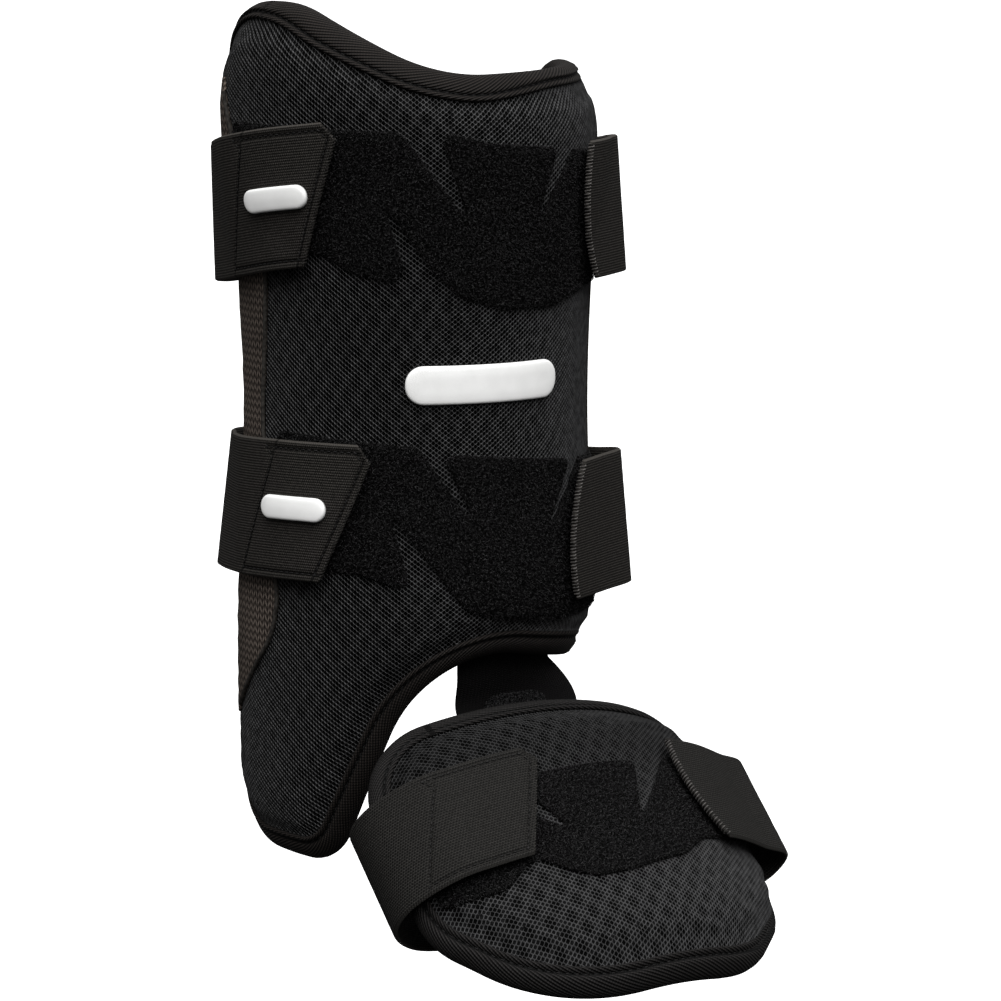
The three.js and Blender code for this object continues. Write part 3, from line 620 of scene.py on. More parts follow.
def rolled_face(corners, rolls, step, grid, crown):
    """A face with a rolled edge: its flat places, heights, rim, quads of the roll and triangles inside."""
    rings = [rounded_outline(corners, inset, step) for inset, _ in rolls]
    count = len(rings[0])
    core, triangles = filled(rings[-1], grid)
    middle = core[count:]
    heights = np.concatenate([np.repeat([height for _, height in rolls], count), np.full(len(middle), crown)])
    quads = grid_faces(len(rings), count, close_columns=True).tolist()
    last = count * (len(rings) - 1)
    inside = [[last + i for i in face] for face in triangles]
    return np.concatenate([*rings, middle]), heights, rings[0], quads, inside


def turned_over(faces, start):
    return [[start + i for i in face[::-1]] for face in faces]


def travelled(points):
    """Distance along a path at each of its points."""
    return np.concatenate([[0.0], np.cumsum(np.linalg.norm(np.diff(points, axis=0), axis=1))])


def points_of(mesh):
    flat = np.empty(len(mesh.vertices) * 3, np.float32)
    mesh.vertices.foreach_get("co", flat)
    return flat.reshape(-1, 3).astype(float) / MM


def move_points(mesh, points):
    mesh.vertices.foreach_set("co", (points * MM).astype(np.float32).ravel())
    mesh.update()


def dress(piece, slot, *nodes):
    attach(piece, "root")
    if nodes:
        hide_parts(*nodes)
    piece.data.calc_loop_triangles()
    print(f"{piece.name}: {len(piece.data.loop_triangles)} triangles")
    return piece


# %% [markdown]
# ## The foam pads
# Each pad is foam between a lining and a mesh cover, thin at its bound edge and full a finger's breadth
# in. Rings that follow the outline give the rolled edge, and a fine triangle fill gives the middle.
# The shape starts a little thin. A cloth simulation with air pressure then swells the cover while
# the lining and the sewn edge are held, which gives the soft crown of a stuffed pad.

# %% Pad shells
EDGE_PROFILE = [(0, 5), (3, 6.7), (6, 8.2), (9, 9.4), (10.5, 10.6), (12, 11.6), (14, 12.6), (16.5, 13.3),
                (19, 13.7), (22, 14.0)]
LINING_INSETS = [0, 9, 22]
PAD_GRID = 3.2
SWELL_ROOM, ROOM_FROM, ROOM_SPAN = 0.9, 9.0, 8.0
SEWN_INSET = 9.5
LINING_BELOW = 1.0


def pad_height(distance):
    insets, heights = np.array(EDGE_PROFILE, float).T
    return np.interp(distance, insets, heights)


def pad_shell(name, corners, point, materials):
    slim = [(inset, height - SWELL_ROOM * rise(inset, ROOM_FROM, ROOM_SPAN))
            for inset, height in EDGE_PROFILE]
    bare = [(inset, 0.0) for inset in LINING_INSETS]
    front, front_heights, rim, front_quads, front_inside = rolled_face(
        corners, slim, OUTLINE_STEP, PAD_GRID, slim[-1][1])
    back, back_heights, _, back_quads, back_inside = rolled_face(corners, bare, OUTLINE_STEP, PAD_GRID, 0.0)
    flat = np.concatenate([front, back])
    heights = np.concatenate([front_heights, back_heights])
    start, side = len(front), np.arange(len(rim))
    after = np.roll(side, -1)
    wall = np.stack([start + side, start + after, after, side], axis=-1).tolist()
    faces = front_quads + turned_over(back_quads, start) + wall
    faces += front_inside + turned_over(back_inside, start)
    piece = mesh_piece(name, point(*flat.T, heights), faces, materials)
    inset = edge_distance(rim, *flat.T)
    held = np.nonzero((heights < LINING_BELOW) | (inset < SEWN_INSET))[0]
    group = piece.vertex_groups.new(name="held")
    group.add(held.tolist(), 1.0, "REPLACE")
    return piece


shin_pad = pad_shell("shin_pad_cover", SHIN_OUTLINE, shin_point, [shin_under, lining])
foot_pad = pad_shell("foot_pad_cover", FOOT_OUTLINE, foot_point, [foot_under, lining])
print("pad vertices:", len(shin_pad.data.vertices), len(foot_pad.data.vertices))

# %% Swell both pads by air pressure
SWELL_FRAMES = 20
SWELL_PRESSURE = 4.0
SWELL_CAP = 1.8
CLOTH_QUALITY = 5


def add_cloth(piece):
    cloth = piece.modifiers.new("swell", "CLOTH")
    cloth.settings.quality = CLOTH_QUALITY
    cloth.settings.use_pressure = True
    cloth.settings.uniform_pressure_force = SWELL_PRESSURE
    cloth.settings.effector_weights.gravity = 0.0
    cloth.settings.vertex_group_mass = "held"
    cloth.point_cache.frame_start = 1
    cloth.point_cache.frame_end = SWELL_FRAMES


def keep_swell(piece):
    """Takes the simulated shape, with every move held under the cap."""
    start = points_of(piece.data)
    swelled = piece.evaluated_get(bpy.context.evaluated_depsgraph_get())
    moved = points_of(swelled.data) - start
    length = np.linalg.norm(moved, axis=1)
    moved *= (np.minimum(length, SWELL_CAP) / np.maximum(length, 1e-9))[:, None]
    piece.modifiers.clear()
    move_points(piece.data, start + moved)
    kept = np.linalg.norm(moved, axis=1)
    print(f"{piece.name}: swelled {kept.max():.2f} mm at most, {kept.mean():.2f} mm on average")


for pad in (shin_pad, foot_pad):
    add_cloth(pad)
for number in range(1, SWELL_FRAMES + 1):
    bpy.context.scene.frame_set(number)
for pad in (shin_pad, foot_pad):
    keep_swell(pad)
bpy.context.scene.frame_set(1)

# %% [markdown]
# ## Puckers, and the lie of the skin
# Where a cover is sewn to its tape it gathers into small puckers, deepest at the seam. They are added after
# the simulation, as a wave along the edge that dies away inwards. Rays shot at the finished pad then
# give its skin height over the whole flat pattern, so that net, patches and straps lie on the real
# swelled surface.


# %% Puckers and skins
PUCKER_FROM, PUCKER_RISE = 8.5, 3.0
PUCKER_TO, PUCKER_FALL = 24.0, 13.0
SECOND_SHARE, SECOND_STRETCH, SECOND_SHIFT = 0.6, 1.7, 1.3
COVER_ABOVE = 4.0
SKIN_STEP, SKIN_MARGIN = 1.5, 6.0
RAY_ABOVE, RAY_BELOW = 45.0, 8.0
TAPE_COVER = 3.0


def pucker(piece, outline, to_flat, point, depth, pitch):
    """Gathers the cover along its seam: two waves of different pitch that die away inwards."""
    x, y, height = to_flat(points_of(piece.data))
    inset = edge_distance(outline, x, y)
    centre = outline.mean(axis=0)
    round_angle = np.arctan2(y - centre[1], x - centre[0])
    travel = round_angle * np.hypot(x - centre[0], y - centre[1])
    second = np.sin(2.0 * np.pi * travel / (pitch * SECOND_STRETCH) + SECOND_SHIFT)
    wave = np.sin(2.0 * np.pi * travel / pitch) + SECOND_SHARE * second
    fade = rise(inset, PUCKER_FROM, PUCKER_RISE) * rise(-inset, -PUCKER_TO, PUCKER_FALL)
    move_points(piece.data, point(x, y, height + depth * wave * fade * (height > COVER_ABOVE)))


class Skin:
    """A pad's outer face, read by rays and kept on a flat grid."""

    def __init__(self, pad, outline, point):
        low, high = outline.min(axis=0) - SKIN_MARGIN, outline.max(axis=0) + SKIN_MARGIN
        self.low, self.point = low, point
        sides = [np.arange(first, last, SKIN_STEP) for first, last in zip(low, high)]
        x, y = np.meshgrid(*sides, indexing="ij")
        polygons = [list(face.vertices) for face in pad.data.polygons]
        tree = BVHTree.FromPolygons([v.co for v in pad.data.vertices], polygons)
        top, bottom = [point(x, y, height).reshape(-1, 3) for height in (RAY_ABOVE, -RAY_BELOW)]
        self.insets = edge_distance(outline, x, y)
        self.heights = pad_height(self.insets)
        spans = np.linalg.norm(bottom - top, axis=1)
        for i in np.nonzero(self.insets.ravel() > 0.5)[0]:
            hit = tree.ray_cast(Vector(top[i] * MM), Vector(bottom[i] - top[i]), spans[i] * MM)
            if hit[0] is not None:
                self.heights.flat[i] = RAY_ABOVE - hit[3] / MM

    def look_up(self, grid, x, y):
        column = np.clip((x - self.low[0]) / SKIN_STEP, 0.0, grid.shape[0] - 1.001)
        row = np.clip((y - self.low[1]) / SKIN_STEP, 0.0, grid.shape[1] - 1.001)
        c, r = column.astype(int), row.astype(int)
        fc, fr = column - c, row - r
        left = grid[c, r] * (1.0 - fr) + grid[c, r + 1] * fr
        right = grid[c + 1, r] * (1.0 - fr) + grid[c + 1, r + 1] * fr
        return left * (1.0 - fc) + right * fc

    def inset(self, x, y):
        return self.look_up(self.insets, x, y)

    def place(self, x, y, lift):
        return self.point(x, y, self.look_up(self.heights, x, y) + lift)

    def cover(self, x, y):
        """Height that also clears the tape round the edge."""
        return np.maximum(self.look_up(self.heights, x, y), pad_height(self.inset(x, y) + TAPE_COVER))


def finish_pad(piece, outline, to_flat, point, slot, node):
    mesh = piece.data
    x, y, height = to_flat(points_of(mesh))
    lay_flat(mesh, np.stack([x, y], axis=-1))
    back = [all(height[i] < LINING_BELOW for i in face.vertices) for face in mesh.polygons]
    mesh.polygons.foreach_set("material_index", np.array(back, np.int32))
    skin = Skin(piece, outline, point)
    print(f"{piece.name}: skin {skin.heights.max():.1f} mm over the lining at most")
    dress(piece, slot, node)
    return skin


pucker(shin_pad, shin_edge, shin_flat, shin_point, depth=0.24, pitch=7.0)
pucker(foot_pad, foot_edge, foot_flat, foot_point, depth=0.42, pitch=8.5)
shin_skin = finish_pad(shin_pad, shin_edge, shin_flat, shin_point, "mesh", "shin_pad")
foot_skin = finish_pad(foot_pad, foot_edge, foot_flat, foot_point, "mesh", "foot_pad")

# %% [markdown]
# ## Trees that repeat
# Geometry Nodes repeat a small shape many times. Four short trees do all the repeating here: one puts a
# shape on every point of a lattice, one strings shapes along a path, one scatters them over a cloth, and
# one draws a round thread along a path. Each result is taken as a plain mesh.


# %% Geometry Nodes kit
class Repeat(Graph):
    """A Geometry Nodes tree with named inputs."""

    def __init__(self, name, inputs):
        super().__init__(bpy.data.node_groups.new(name, "GeometryNodeTree"))
        face = self.tree.interface
        face.new_socket("Geometry", in_out="INPUT", socket_type="NodeSocketGeometry")
        self.names = {}
        for label, kind in inputs.items():
            self.names[label] = face.new_socket(label, in_out="INPUT", socket_type=kind).identifier
        face.new_socket("Geometry", in_out="OUTPUT", socket_type="NodeSocketGeometry")
        self.source = self.tree.nodes.new("NodeGroupInput")

    def given(self, label):
        return Wire(self, self.source.outputs[label])

    def shape(self):
        return self.node("GeometryNodeObjectInfo", None, {"Object": self.given("Shape")}, output=4)

    def close(self, instances, merge=None):
        solid = self.node("GeometryNodeRealizeInstances", None, {"Geometry": instances})
        if merge:
            solid = self.node("GeometryNodeMergeByDistance", None, {"Geometry": solid, "Distance": merge})
        painted = self.node("GeometryNodeSetMaterial", None,
                            {"Geometry": solid, "Material": self.given("Material")})
        self.node("NodeGroupOutput", None, {"Geometry": painted})
        return self

    def run(self, source, name, **values):
        """Runs the tree on an object and gives back a plain mesh piece; the source goes."""
        modifier = source.modifiers.new("repeat", "NODES")
        modifier.node_group = self.tree
        for label, value in values.items():
            modifier[self.names[label]] = value
        seen = source.evaluated_get(bpy.context.evaluated_depsgraph_get())
        mesh = bpy.data.meshes.new_from_object(seen)
        mesh.name = name
        bpy.data.objects.remove(source)
        mesh.polygons.foreach_set("use_smooth", np.ones(len(mesh.polygons), bool))
        return add_object(name, mesh)


NET_MERGE = 0.02
LEAN, SPIN = 0.5, 3.2
SMALLEST, LARGEST = 0.6, 1.25
THREAD_SIDES = 6
SHAPE_INPUTS = {"Shape": "NodeSocketObject", "Material": "NodeSocketMaterial"}


def lattice_tree():
    tree = Repeat("shapes_on_points", SHAPE_INPUTS)
    made = tree.node("GeometryNodeInstanceOnPoints", None,
                     {"Points": tree.given("Geometry"), "Instance": tree.shape()})
    return tree.close(made, merge=NET_MERGE * MM)


def string_tree():
    tree = Repeat("shapes_on_path", {**SHAPE_INPUTS, "Pitch": "NodeSocketFloat"})
    line = tree.node("GeometryNodeMeshToCurve", None, {"Mesh": tree.given("Geometry")})
    beads = tree.node("GeometryNodeCurveToPoints", {"mode": "LENGTH"},
                      {"Curve": line, "Length": tree.given("Pitch")})
    turned = Wire(tree, beads.socket.node.outputs["Rotation"])
    made = tree.node("GeometryNodeInstanceOnPoints", None,
                     {"Points": beads, "Instance": tree.shape(), "Rotation": turned})
    return tree.close(made)


def scatter_tree():
    inputs = {**SHAPE_INPUTS, "Density": "NodeSocketFloat", "Seed": "NodeSocketInt"}
    tree = Repeat("shapes_scattered", inputs)
    spots = tree.node("GeometryNodeDistributePointsOnFaces", None,
                      {"Mesh": tree.given("Geometry"), "Density": tree.given("Density"),
                       "Seed": tree.given("Seed")})
    upright = Wire(tree, spots.socket.node.outputs["Rotation"])
    spin = tree.node("FunctionNodeRandomValue", {"data_type": "FLOAT_VECTOR"},
                     {0: (-LEAN, -LEAN, -SPIN), 1: (LEAN, LEAN, SPIN), "Seed": tree.given("Seed")})
    turned = tree.node("FunctionNodeRotateRotation", {"rotation_space": "LOCAL"},
                       {"Rotation": upright, "Rotate By": spin})
    size = tree.node("FunctionNodeRandomValue", {"data_type": "FLOAT"},
                     {2: SMALLEST, 3: LARGEST, "Seed": tree.given("Seed")}, output=1)
    made = tree.node("GeometryNodeInstanceOnPoints", None,
                     {"Points": spots, "Instance": tree.shape(), "Rotation": turned, "Scale": size})
    return tree.close(made)


def thread_tree():
    inputs = {"Material": "NodeSocketMaterial", "Radius": "NodeSocketFloat"}
    tree = Repeat("thread_along_path", inputs)
    line = tree.node("GeometryNodeMeshToCurve", None, {"Mesh": tree.given("Geometry")})
    ring = tree.node("GeometryNodeCurvePrimitiveCircle", None,
                     {"Resolution": THREAD_SIDES, "Radius": tree.given("Radius")})
    tube = tree.node("GeometryNodeCurveToMesh", None,
                     {"Curve": line, "Profile Curve": ring, "Fill Caps": True})
    return tree.close(tube)


on_points, on_path, scattered, along_path = lattice_tree(), string_tree(), scatter_tree(), thread_tree()
print("trees:", [tree.tree.name for tree in (on_points, on_path, scattered, along_path)])


# %% Sources for the trees
def polyline(*paths, closed=False):
    """A mesh of edges along one or more paths, as a source for a tree."""
    starts = np.cumsum([0] + [len(path) for path in paths])
    edges = [(i, i + 1) for a, b in zip(starts, starts[1:]) for i in range(a, b - 1)]
    if closed:
        edges.append((len(paths[0]) - 1, 0))
    mesh = bpy.data.meshes.new("path")
    mesh.from_pydata((np.concatenate(paths) * MM).tolist(), edges, [])
    return add_object("path", mesh)


def small_shape(name, points, faces):
    """A shape that only a tree uses, kept out of the picture."""
    piece = mesh_piece(name, points, faces, [])
    piece.hide_render = True
    piece.hide_viewport = True
    return piece


def spindle(name, length, thick, sides=6, rings=4):
    """A stitch: a thread that dips into the cloth at both ends."""
    turn = np.arange(sides) * 2.0 * np.pi / sides
    spots = np.linspace(-0.5, 0.5, rings + 2)[1:-1]
    width = np.sqrt(1.0 - (2.0 * spots) ** 2 * 0.9) * thick / 2.0
    body = [[r * np.cos(t), r * np.sin(t), s * length] for s, r in zip(spots, width) for t in turn]
    faces = grid_faces(rings, sides, close_columns=True).tolist()
    ends = len(body)
    body += [[0.0, 0.0, -0.5 * length], [0.0, 0.0, 0.5 * length]]
    last = (rings - 1) * sides
    faces += [[ends, (i + 1) % sides, i] for i in range(sides)]
    faces += [[ends + 1, last + i, last + (i + 1) % sides] for i in range(sides)]
    return small_shape(name, body, faces)


small_stitch_shape = spindle("small_stitch_shape", length=1.7, thick=0.42)

# %% [markdown]
# ## The mesh net
# Spacer mesh is a knitted net of six-sided holes. Colour and bump alone look flat at the rolled edges,
# so the net is real. One six-sided ring is the cell of the lattice: its outer side is the crest of the
# threads and its inner side dips to the foam. A tree puts a ring on each lattice point outside the
# patches and merges neighbours along their crests. Holes are drawn together where the two layers of the
# mesh cross, and the flat net is then laid on the skin.

# %% Lattice and rings
NET_LIFT = 0.12
NET_CREST = 0.42
OPEN_HOLE = 0.82
NET_MIDDLE = -20.0
NET_UNDER_LIP = 0.6
UNDER_PATCH = 2.2
SHIN_NARROWING, FOOT_NARROWING = 0.1, 0.15
SHIN_LIP, SHIN_LIP_LOSS = 7.3, 3.3
FOOT_LIP, FOOT_LIP_GAIN = 5.2, 1.6
# where the lip starts to change and over what span: round the leg, and up
LEFT_ROUND, LEFT_UP = (62.0, 36.0), (-35.0, 40.0)
RIGHT_ROUND, RIGHT_UP = (-15.0, 45.0), (120.0, 40.0)
FOOT_LIP_UP = (-50.0, 30.0)


def shin_lip(x, y):
    """How far in from the edge the tape's lip lies; it narrows where the edge turns to the sides."""
    left = rise(-x, *LEFT_ROUND) * rise(y, *LEFT_UP)
    right = rise(x, *RIGHT_ROUND) * rise(y, *RIGHT_UP)
    return SHIN_LIP - SHIN_LIP_LOSS * np.maximum(left, right)


def foot_lip(x, y):
    """The same for the foot, where the lip widens towards the ankle."""
    return FOOT_LIP + FOOT_LIP_GAIN * rise(y, *FOOT_LIP_UP)


def cell_ring(name):
    """The lattice's own six-sided cell as a ring of quads round its hole."""
    half, quarter = NET_CELL[0] / 2.0, NET_CELL[1] / 2.0
    reach = (half**2 + quarter**2) / 2.0
    tip, shoulder = reach / half, (reach - quarter**2) / half
    outer = np.array([(tip, 0.0), (shoulder, quarter), (-shoulder, quarter), (-tip, 0.0),
                      (-shoulder, -quarter), (shoulder, -quarter)])
    crest = np.column_stack([outer, np.full(6, NET_CREST)])
    dip = np.column_stack([outer * OPEN_HOLE, np.zeros(6)])
    return small_shape(name, np.concatenate([dip, crest]), grid_faces(2, 6, close_columns=True)[:, ::-1])


def lattice(outline, lip, covers):
    """Lattice points between the tape and the patches; every second column is half a cell higher."""
    half = NET_CELL[0] / 2.0
    low, high = outline.min(axis=0), outline.max(axis=0)
    columns = np.arange(np.floor(low[0] / half), np.ceil(high[0] / half))
    rows = np.arange(np.floor(low[1] / NET_CELL[1]), np.ceil(high[1] / NET_CELL[1]))
    x = np.repeat(columns * half, len(rows))
    y = ((rows[None, :] + (columns % 2)[:, None] / 2.0) * NET_CELL[1]).ravel()
    keep = edge_distance(outline, x, y) > lip(x, y) - NET_UNDER_LIP
    x, y = x[keep], y[keep]
    for corners in covers:
        open_air = edge_distance(rounded_outline(corners), x, y) < UNDER_PATCH
        x, y = x[open_air], y[open_air]
    return np.column_stack([x, y, np.zeros(len(x))])


def cell_centre(x, y):
    """The lattice point nearest to a place."""
    half, found = NET_CELL[0] / 2.0, None
    for column in (np.floor(x / half), np.ceil(x / half)):
        shift = (column % 2) / 2.0
        spot = np.stack([column * half, (np.round(y / NET_CELL[1] - shift) + shift) * NET_CELL[1]])
        away = np.hypot(*(spot - [x, y]))
        found = (spot, away) if found is None else (np.where(away < found[1], spot, found[0]), away)
    return found[0]


def narrow_holes(x, y, z, span):
    """Draws the rim of each hole together where the two layers cross."""
    centre = cell_centre(x, y)
    across, up = centre[0] / CLUSTER_ACROSS, centre[1] / CLUSTER_UP
    in_line = np.cos(np.pi * (across + up)) ** 2 * np.cos(np.pi * (across - up)) ** 2
    opened = rise(in_line, CLUSTER_SHUT, CLUSTER_OPEN - CLUSTER_SHUT)
    share = np.where(z < NET_CREST / 2.0, 1.0 - span * (1.0 - opened), 1.0)
    return centre + ([x, y] - centre) * share


def lay_net(name, spots, skin, material, span):
    source = mesh_piece("net_points", spots, [], [])
    net = on_points.run(source, name, Shape=cell_ring(name + "_cell"), Material=material)
    x, y, z = points_of(net.data).T
    x, y = narrow_holes(x, y, z, span)
    lay_flat(net.data, np.column_stack([x, y]))
    move_points(net.data, skin.place(x, y, z + NET_LIFT))
    return dress(net, "mesh")


shin_spots = lattice(shin_edge, shin_lip, [UPPER_PATCH, LOWER_PATCH, LEFT_PANEL, RIGHT_PANEL])
on_left = shin_spots[:, 0] < NET_MIDDLE
foot_spots = lattice(foot_edge, foot_lip, [FOOT_PATCH])
lay_net("left_shin_net", shin_spots[on_left], shin_skin, shin_thread, SHIN_NARROWING)
lay_net("right_shin_net", shin_spots[~on_left], shin_skin, shin_thread, SHIN_NARROWING)
lay_net("foot_net", foot_spots, foot_skin, foot_thread, FOOT_NARROWING)

# %% [markdown]
# ## Binding tape
# A twill tape is folded over the raw edge of each pad and sewn through. It could be a plain tube, but the
# real one has a flat face, a stitched groove and a soft round lip beyond the stitches. Its section is given
# by short tables of insets and heights and is carried round the outline, narrower where the lip narrows and
# flatter where the edge turns away at the right.

# %% Tape round both pads
TAPE = 1.2
TAPE_STEP = 2.0
TAPE_FULL = 9.3
GROOVE_BACK, LIP_WIDTH = 2.2, 3.0
LIP_FLATTER, FLATTER_FROM, FLATTER_SPAN = 0.6, 36.0, 22.0
STITCH_COVER, STITCH_PITCH = 0.85, 3.1
# lip and groove: way back from the tape's inner edge, height over the pad
LIP_ROWS = [(0.0, 0.1), (0.15, 1.0), (0.6, 1.75), (1.1, 1.95), (1.6, 1.7), (1.95, 1.1), (GROOVE_BACK, 0.75),
            (2.5, 1.05), (LIP_WIDTH, 1.6)]
# face: share of the way from the pad's edge to the lip, height over the pad
FACE_ROWS = [(0.75, 1.95), (0.45, 2.0), (0.2, 1.8), (0.05, 1.55)]
# round edge and lining side: inset, height over the lining
WRAP_ROWS = [(-0.6, 5.7), (-1.4, 4.0), (-1.6, 2.4), (-1.4, 0.8), (-0.5, -0.8), (0.8, -1.5), (3.0, -1.65),
             (6.0, -1.5), (8.4, -1.6), (9.0, -1.1), (8.6, -0.3), (4.0, -0.3), (-0.3, -0.2), (-0.35, 3.0)]
# inner face: share of the way to the tape's inner edge, height over the pad
INNER_ROWS = [(0.05, 0.45), (0.45, 0.6), (0.88, 0.44)]


def tape_section(reach, full):
    """Insets and heights of every row for a tape whose inner edge lies this far in."""
    over_pad = [(reach - back, cover * full) for back, cover in LIP_ROWS]
    over_pad += [((reach - LIP_WIDTH) * share, cover * (0.5 + 0.5 * full)) for share, cover in FACE_ROWS]
    wrapped = [(inset + 0.0 * reach, height + 0.0 * reach) for inset, height in WRAP_ROWS]
    inner = [(reach * share, cover * full) for share, cover in INNER_ROWS]
    front, back = [[(inset, pad_height(inset) + cover) for inset, cover in rows]
                   for rows in (over_pad, inner)]
    return np.moveaxis(np.array(front + wrapped + back), 1, 0)


def bind(name, corners, point, lip, material, node):
    edge = rounded_outline(corners, 0.0, TAPE_STEP)
    inward = (rounded_outline(corners, TAPE_FULL, TAPE_STEP) - edge) / TAPE_FULL
    reach = lip(*edge.T)
    full = 1.0 - LIP_FLATTER * rise(edge[:, 0], FLATTER_FROM, FLATTER_SPAN)
    insets, heights = tape_section(reach, full)
    flat = edge + inward * insets[..., None]
    steps = np.hypot(np.diff(insets, axis=0), np.diff(heights, axis=0))
    around = np.concatenate([np.zeros((1, len(edge))), np.cumsum(steps, axis=0)])
    laid = np.stack([np.broadcast_to(travelled(edge), around.shape), around], axis=-1).reshape(-1, 2)
    faces = grid_faces(*insets.shape, close_rows=True, close_columns=True)[:, ::-1]
    points = point(flat[..., 0], flat[..., 1], heights).reshape(-1, 3)
    piece = mesh_piece(name, points, faces, [material], laid)
    seam_inset = reach - GROOVE_BACK
    seam = edge + inward * seam_inset[:, None]
    path = polyline(point(*seam.T, pad_height(seam_inset) + STITCH_COVER * full), closed=True)
    stitches = on_path.run(path, name + "_stitches", Shape=small_stitch_shape, Material=thread,
                           Pitch=STITCH_PITCH * MM)
    dress(stitches, "tape")
    dress(piece, "tape", node)


bind("shin_binding_tape", SHIN_OUTLINE, shin_point, shin_lip, tape, "shin_binding")
bind("foot_binding_tape", FOOT_OUTLINE, foot_point, foot_lip, foot_tape, "foot_binding")

# %% [markdown]
# ## Loop patches
# The straps grip on patches of loop pile. A patch is a thin backing with a soft rolled edge, cut with
# wedge gaps where the net shows. Thousands of tiny loops are scattered over its upper face, leaning every
# way, so that the patch looks fuzzy and its edge frays a little.

# %% Sheets laid on a skin
SHEET_CLEAR = 0.3
SHEET_STEP = 2.0
# inset from the edge, share of the thickness
SHEET_ROLL = [(0.0, 0.0), (0.0, 0.55), (0.2, 0.85), (0.6, 1.0)]


def laid_sheet(name, corners, thickness, skin, material, grid=3.0):
    """A closed sheet with a rolled edge, laid on a skin, and its upper face as a source for pile."""
    rolls = [(inset, share * thickness) for inset, share in SHEET_ROLL]
    flat, heights, rim, quads, inside = rolled_face(corners, rolls, SHEET_STEP, grid, thickness)
    upper = quads + inside
    base, base_faces = filled(rim, grid * 2.0)
    more = len(base) - len(rim)
    base_id = np.concatenate([np.arange(len(rim)), len(flat) + np.arange(more)])
    flat = np.concatenate([flat, base[len(rim):]])
    heights = np.concatenate([heights, np.zeros(more)])
    lower = [[base_id[i] for i in face[::-1]] for face in base_faces]
    points = skin.place(*flat.T, heights + SHEET_CLEAR)
    piece = mesh_piece(name, points, upper + lower, [material], flat)
    face_up = mesh_piece(name + "_top", points, upper, [])
    return piece, face_up


def flat_area(corners):
    x, y = rounded_outline(corners).T
    return 0.5 * abs(np.sum(x * np.roll(y, -1) - y * np.roll(x, -1))) * MM * MM


def flat_size(corners):
    return [float(v) * MM for v in np.ptp(rounded_outline(corners), axis=0)]


# %% Pile loops
PILE = 1.2
PILE_DENSITY = 2.1e6
PILE_SEED = 7


def pile_loop():
    """One loop of yarn: a narrow ribbon bent into an arch that leans over."""
    turn = np.linspace(0.0, np.pi, 5)
    middle = np.column_stack([0.42 * np.cos(turn), 0.12 * np.sin(2.0 * turn), 0.62 * np.sin(turn) - 0.1])
    side = np.array([0.0, 0.055, 0.02])
    return small_shape("pile_loop_shape", np.concatenate([middle - side, middle + side]), grid_faces(2, 5))


loop_shape = pile_loop()


def loop_patch(name, corners, skin, node, density=PILE_DENSITY):
    patch, face_up = laid_sheet(name, corners, PILE, skin, pile)
    curls = scattered.run(face_up, name + "_pile", Shape=loop_shape, Material=fibre, Density=density,
                          Seed=PILE_SEED)
    dress(curls, "pile")
    dress(patch, "pile", node)
    flat_size(corners)
    flat_area(corners)


loop_patch("upper_pile_patch", UPPER_PATCH, shin_skin, "upper_loop_patch")
loop_patch("lower_pile_patch", LOWER_PATCH, shin_skin, "lower_loop_patch")
loop_patch("foot_pile_patch", FOOT_PATCH, foot_skin, "foot_loop_patch")

# %% [markdown]
# ## Side panels
# A knitted panel closes each side between the cover and the rear edge. It is a thin sheet like the patches.
# Its front seam carries a slim piping, drawn here as a thread along the outline.

# %% Knit panels and piping
KNIT = 1.0
KNIT_GRID = 4.0
PIPING_RADIUS, PIPING_INSET, PIPING_TRIM = 0.75, 0.3, 3
PIPING_SEAT = 0.9


def front_run(edge):
    """The part of an outline between its top and bottom that lies nearer to the shin's middle."""
    first, second = sorted((np.argmax(edge[:, 1]), np.argmin(edge[:, 1])))
    runs = edge[first:second + 1], np.concatenate([edge[second:], edge[:first + 1]])
    return min(runs, key=lambda run: np.abs(run[:, 0]).mean())


def side_panel(name, corners, node):
    panel, face_up = laid_sheet(name, corners, KNIT, shin_skin, knit, KNIT_GRID)
    bpy.data.objects.remove(face_up)
    front = front_run(rounded_outline(corners, PIPING_INSET, SHEET_STEP))[PIPING_TRIM:-PIPING_TRIM]
    seam = shin_skin.place(*front.T, np.full(len(front), SHEET_CLEAR + KNIT * PIPING_SEAT))
    cord = along_path.run(polyline(seam), name + "_piping", Material=piping, Radius=PIPING_RADIUS * MM)
    dress(cord, "knit")
    dress(panel, "knit", node)
    flat_size(corners)
    flat_area(corners)


side_panel("left_side_panel", LEFT_PANEL, "side_panel_left")
side_panel("right_side_panel", RIGHT_PANEL, "side_panel_right")

# %% [markdown]
# ## Elastic straps
# A strap is a band of ribbed elastic with a sewn tab at its left end. Flat webbing is modelled directly:
# a section with round selvedges is carried along the band's path, and the ribs are left to the finish.
# Each leg strap runs from its tab round the back of the leg to its right end and lies on the pad wherever
# the pad stands out further than its path. Where the tab is sewn, a shallow groove takes the stitches.


# %% Smooth paths
def smooth_line(stops, per_span=60):
    """A centripetal curve through stops, as points at even parts of each span."""
    stops = np.asarray(stops, float)
    padded = np.concatenate([[2 * stops[0] - stops[1]], stops, [2 * stops[-1] - stops[-2]]])
    share = np.linspace(0.0, 1.0, per_span, endpoint=False)[:, None]
    found = []
    for a, b, c, d in zip(padded, padded[1:], padded[2:], padded[3:]):
        before, span, after = (np.sqrt(np.linalg.norm(q - p)) for p, q in ((a, b), (b, c), (c, d)))
        leave = ((b - a) / before - (c - a) / (before + span) + (c - b) / span) * span
        arrive = ((c - b) / span - (d - b) / (span + after) + (d - c) / after) * span
        cubic = 2 * b - 2 * c + leave + arrive
        square = -3 * b + 3 * c - 2 * leave - arrive
        found.append(b + share * (leave + share * (square + share * cubic)))
    return np.concatenate([*found, stops[-1:]])


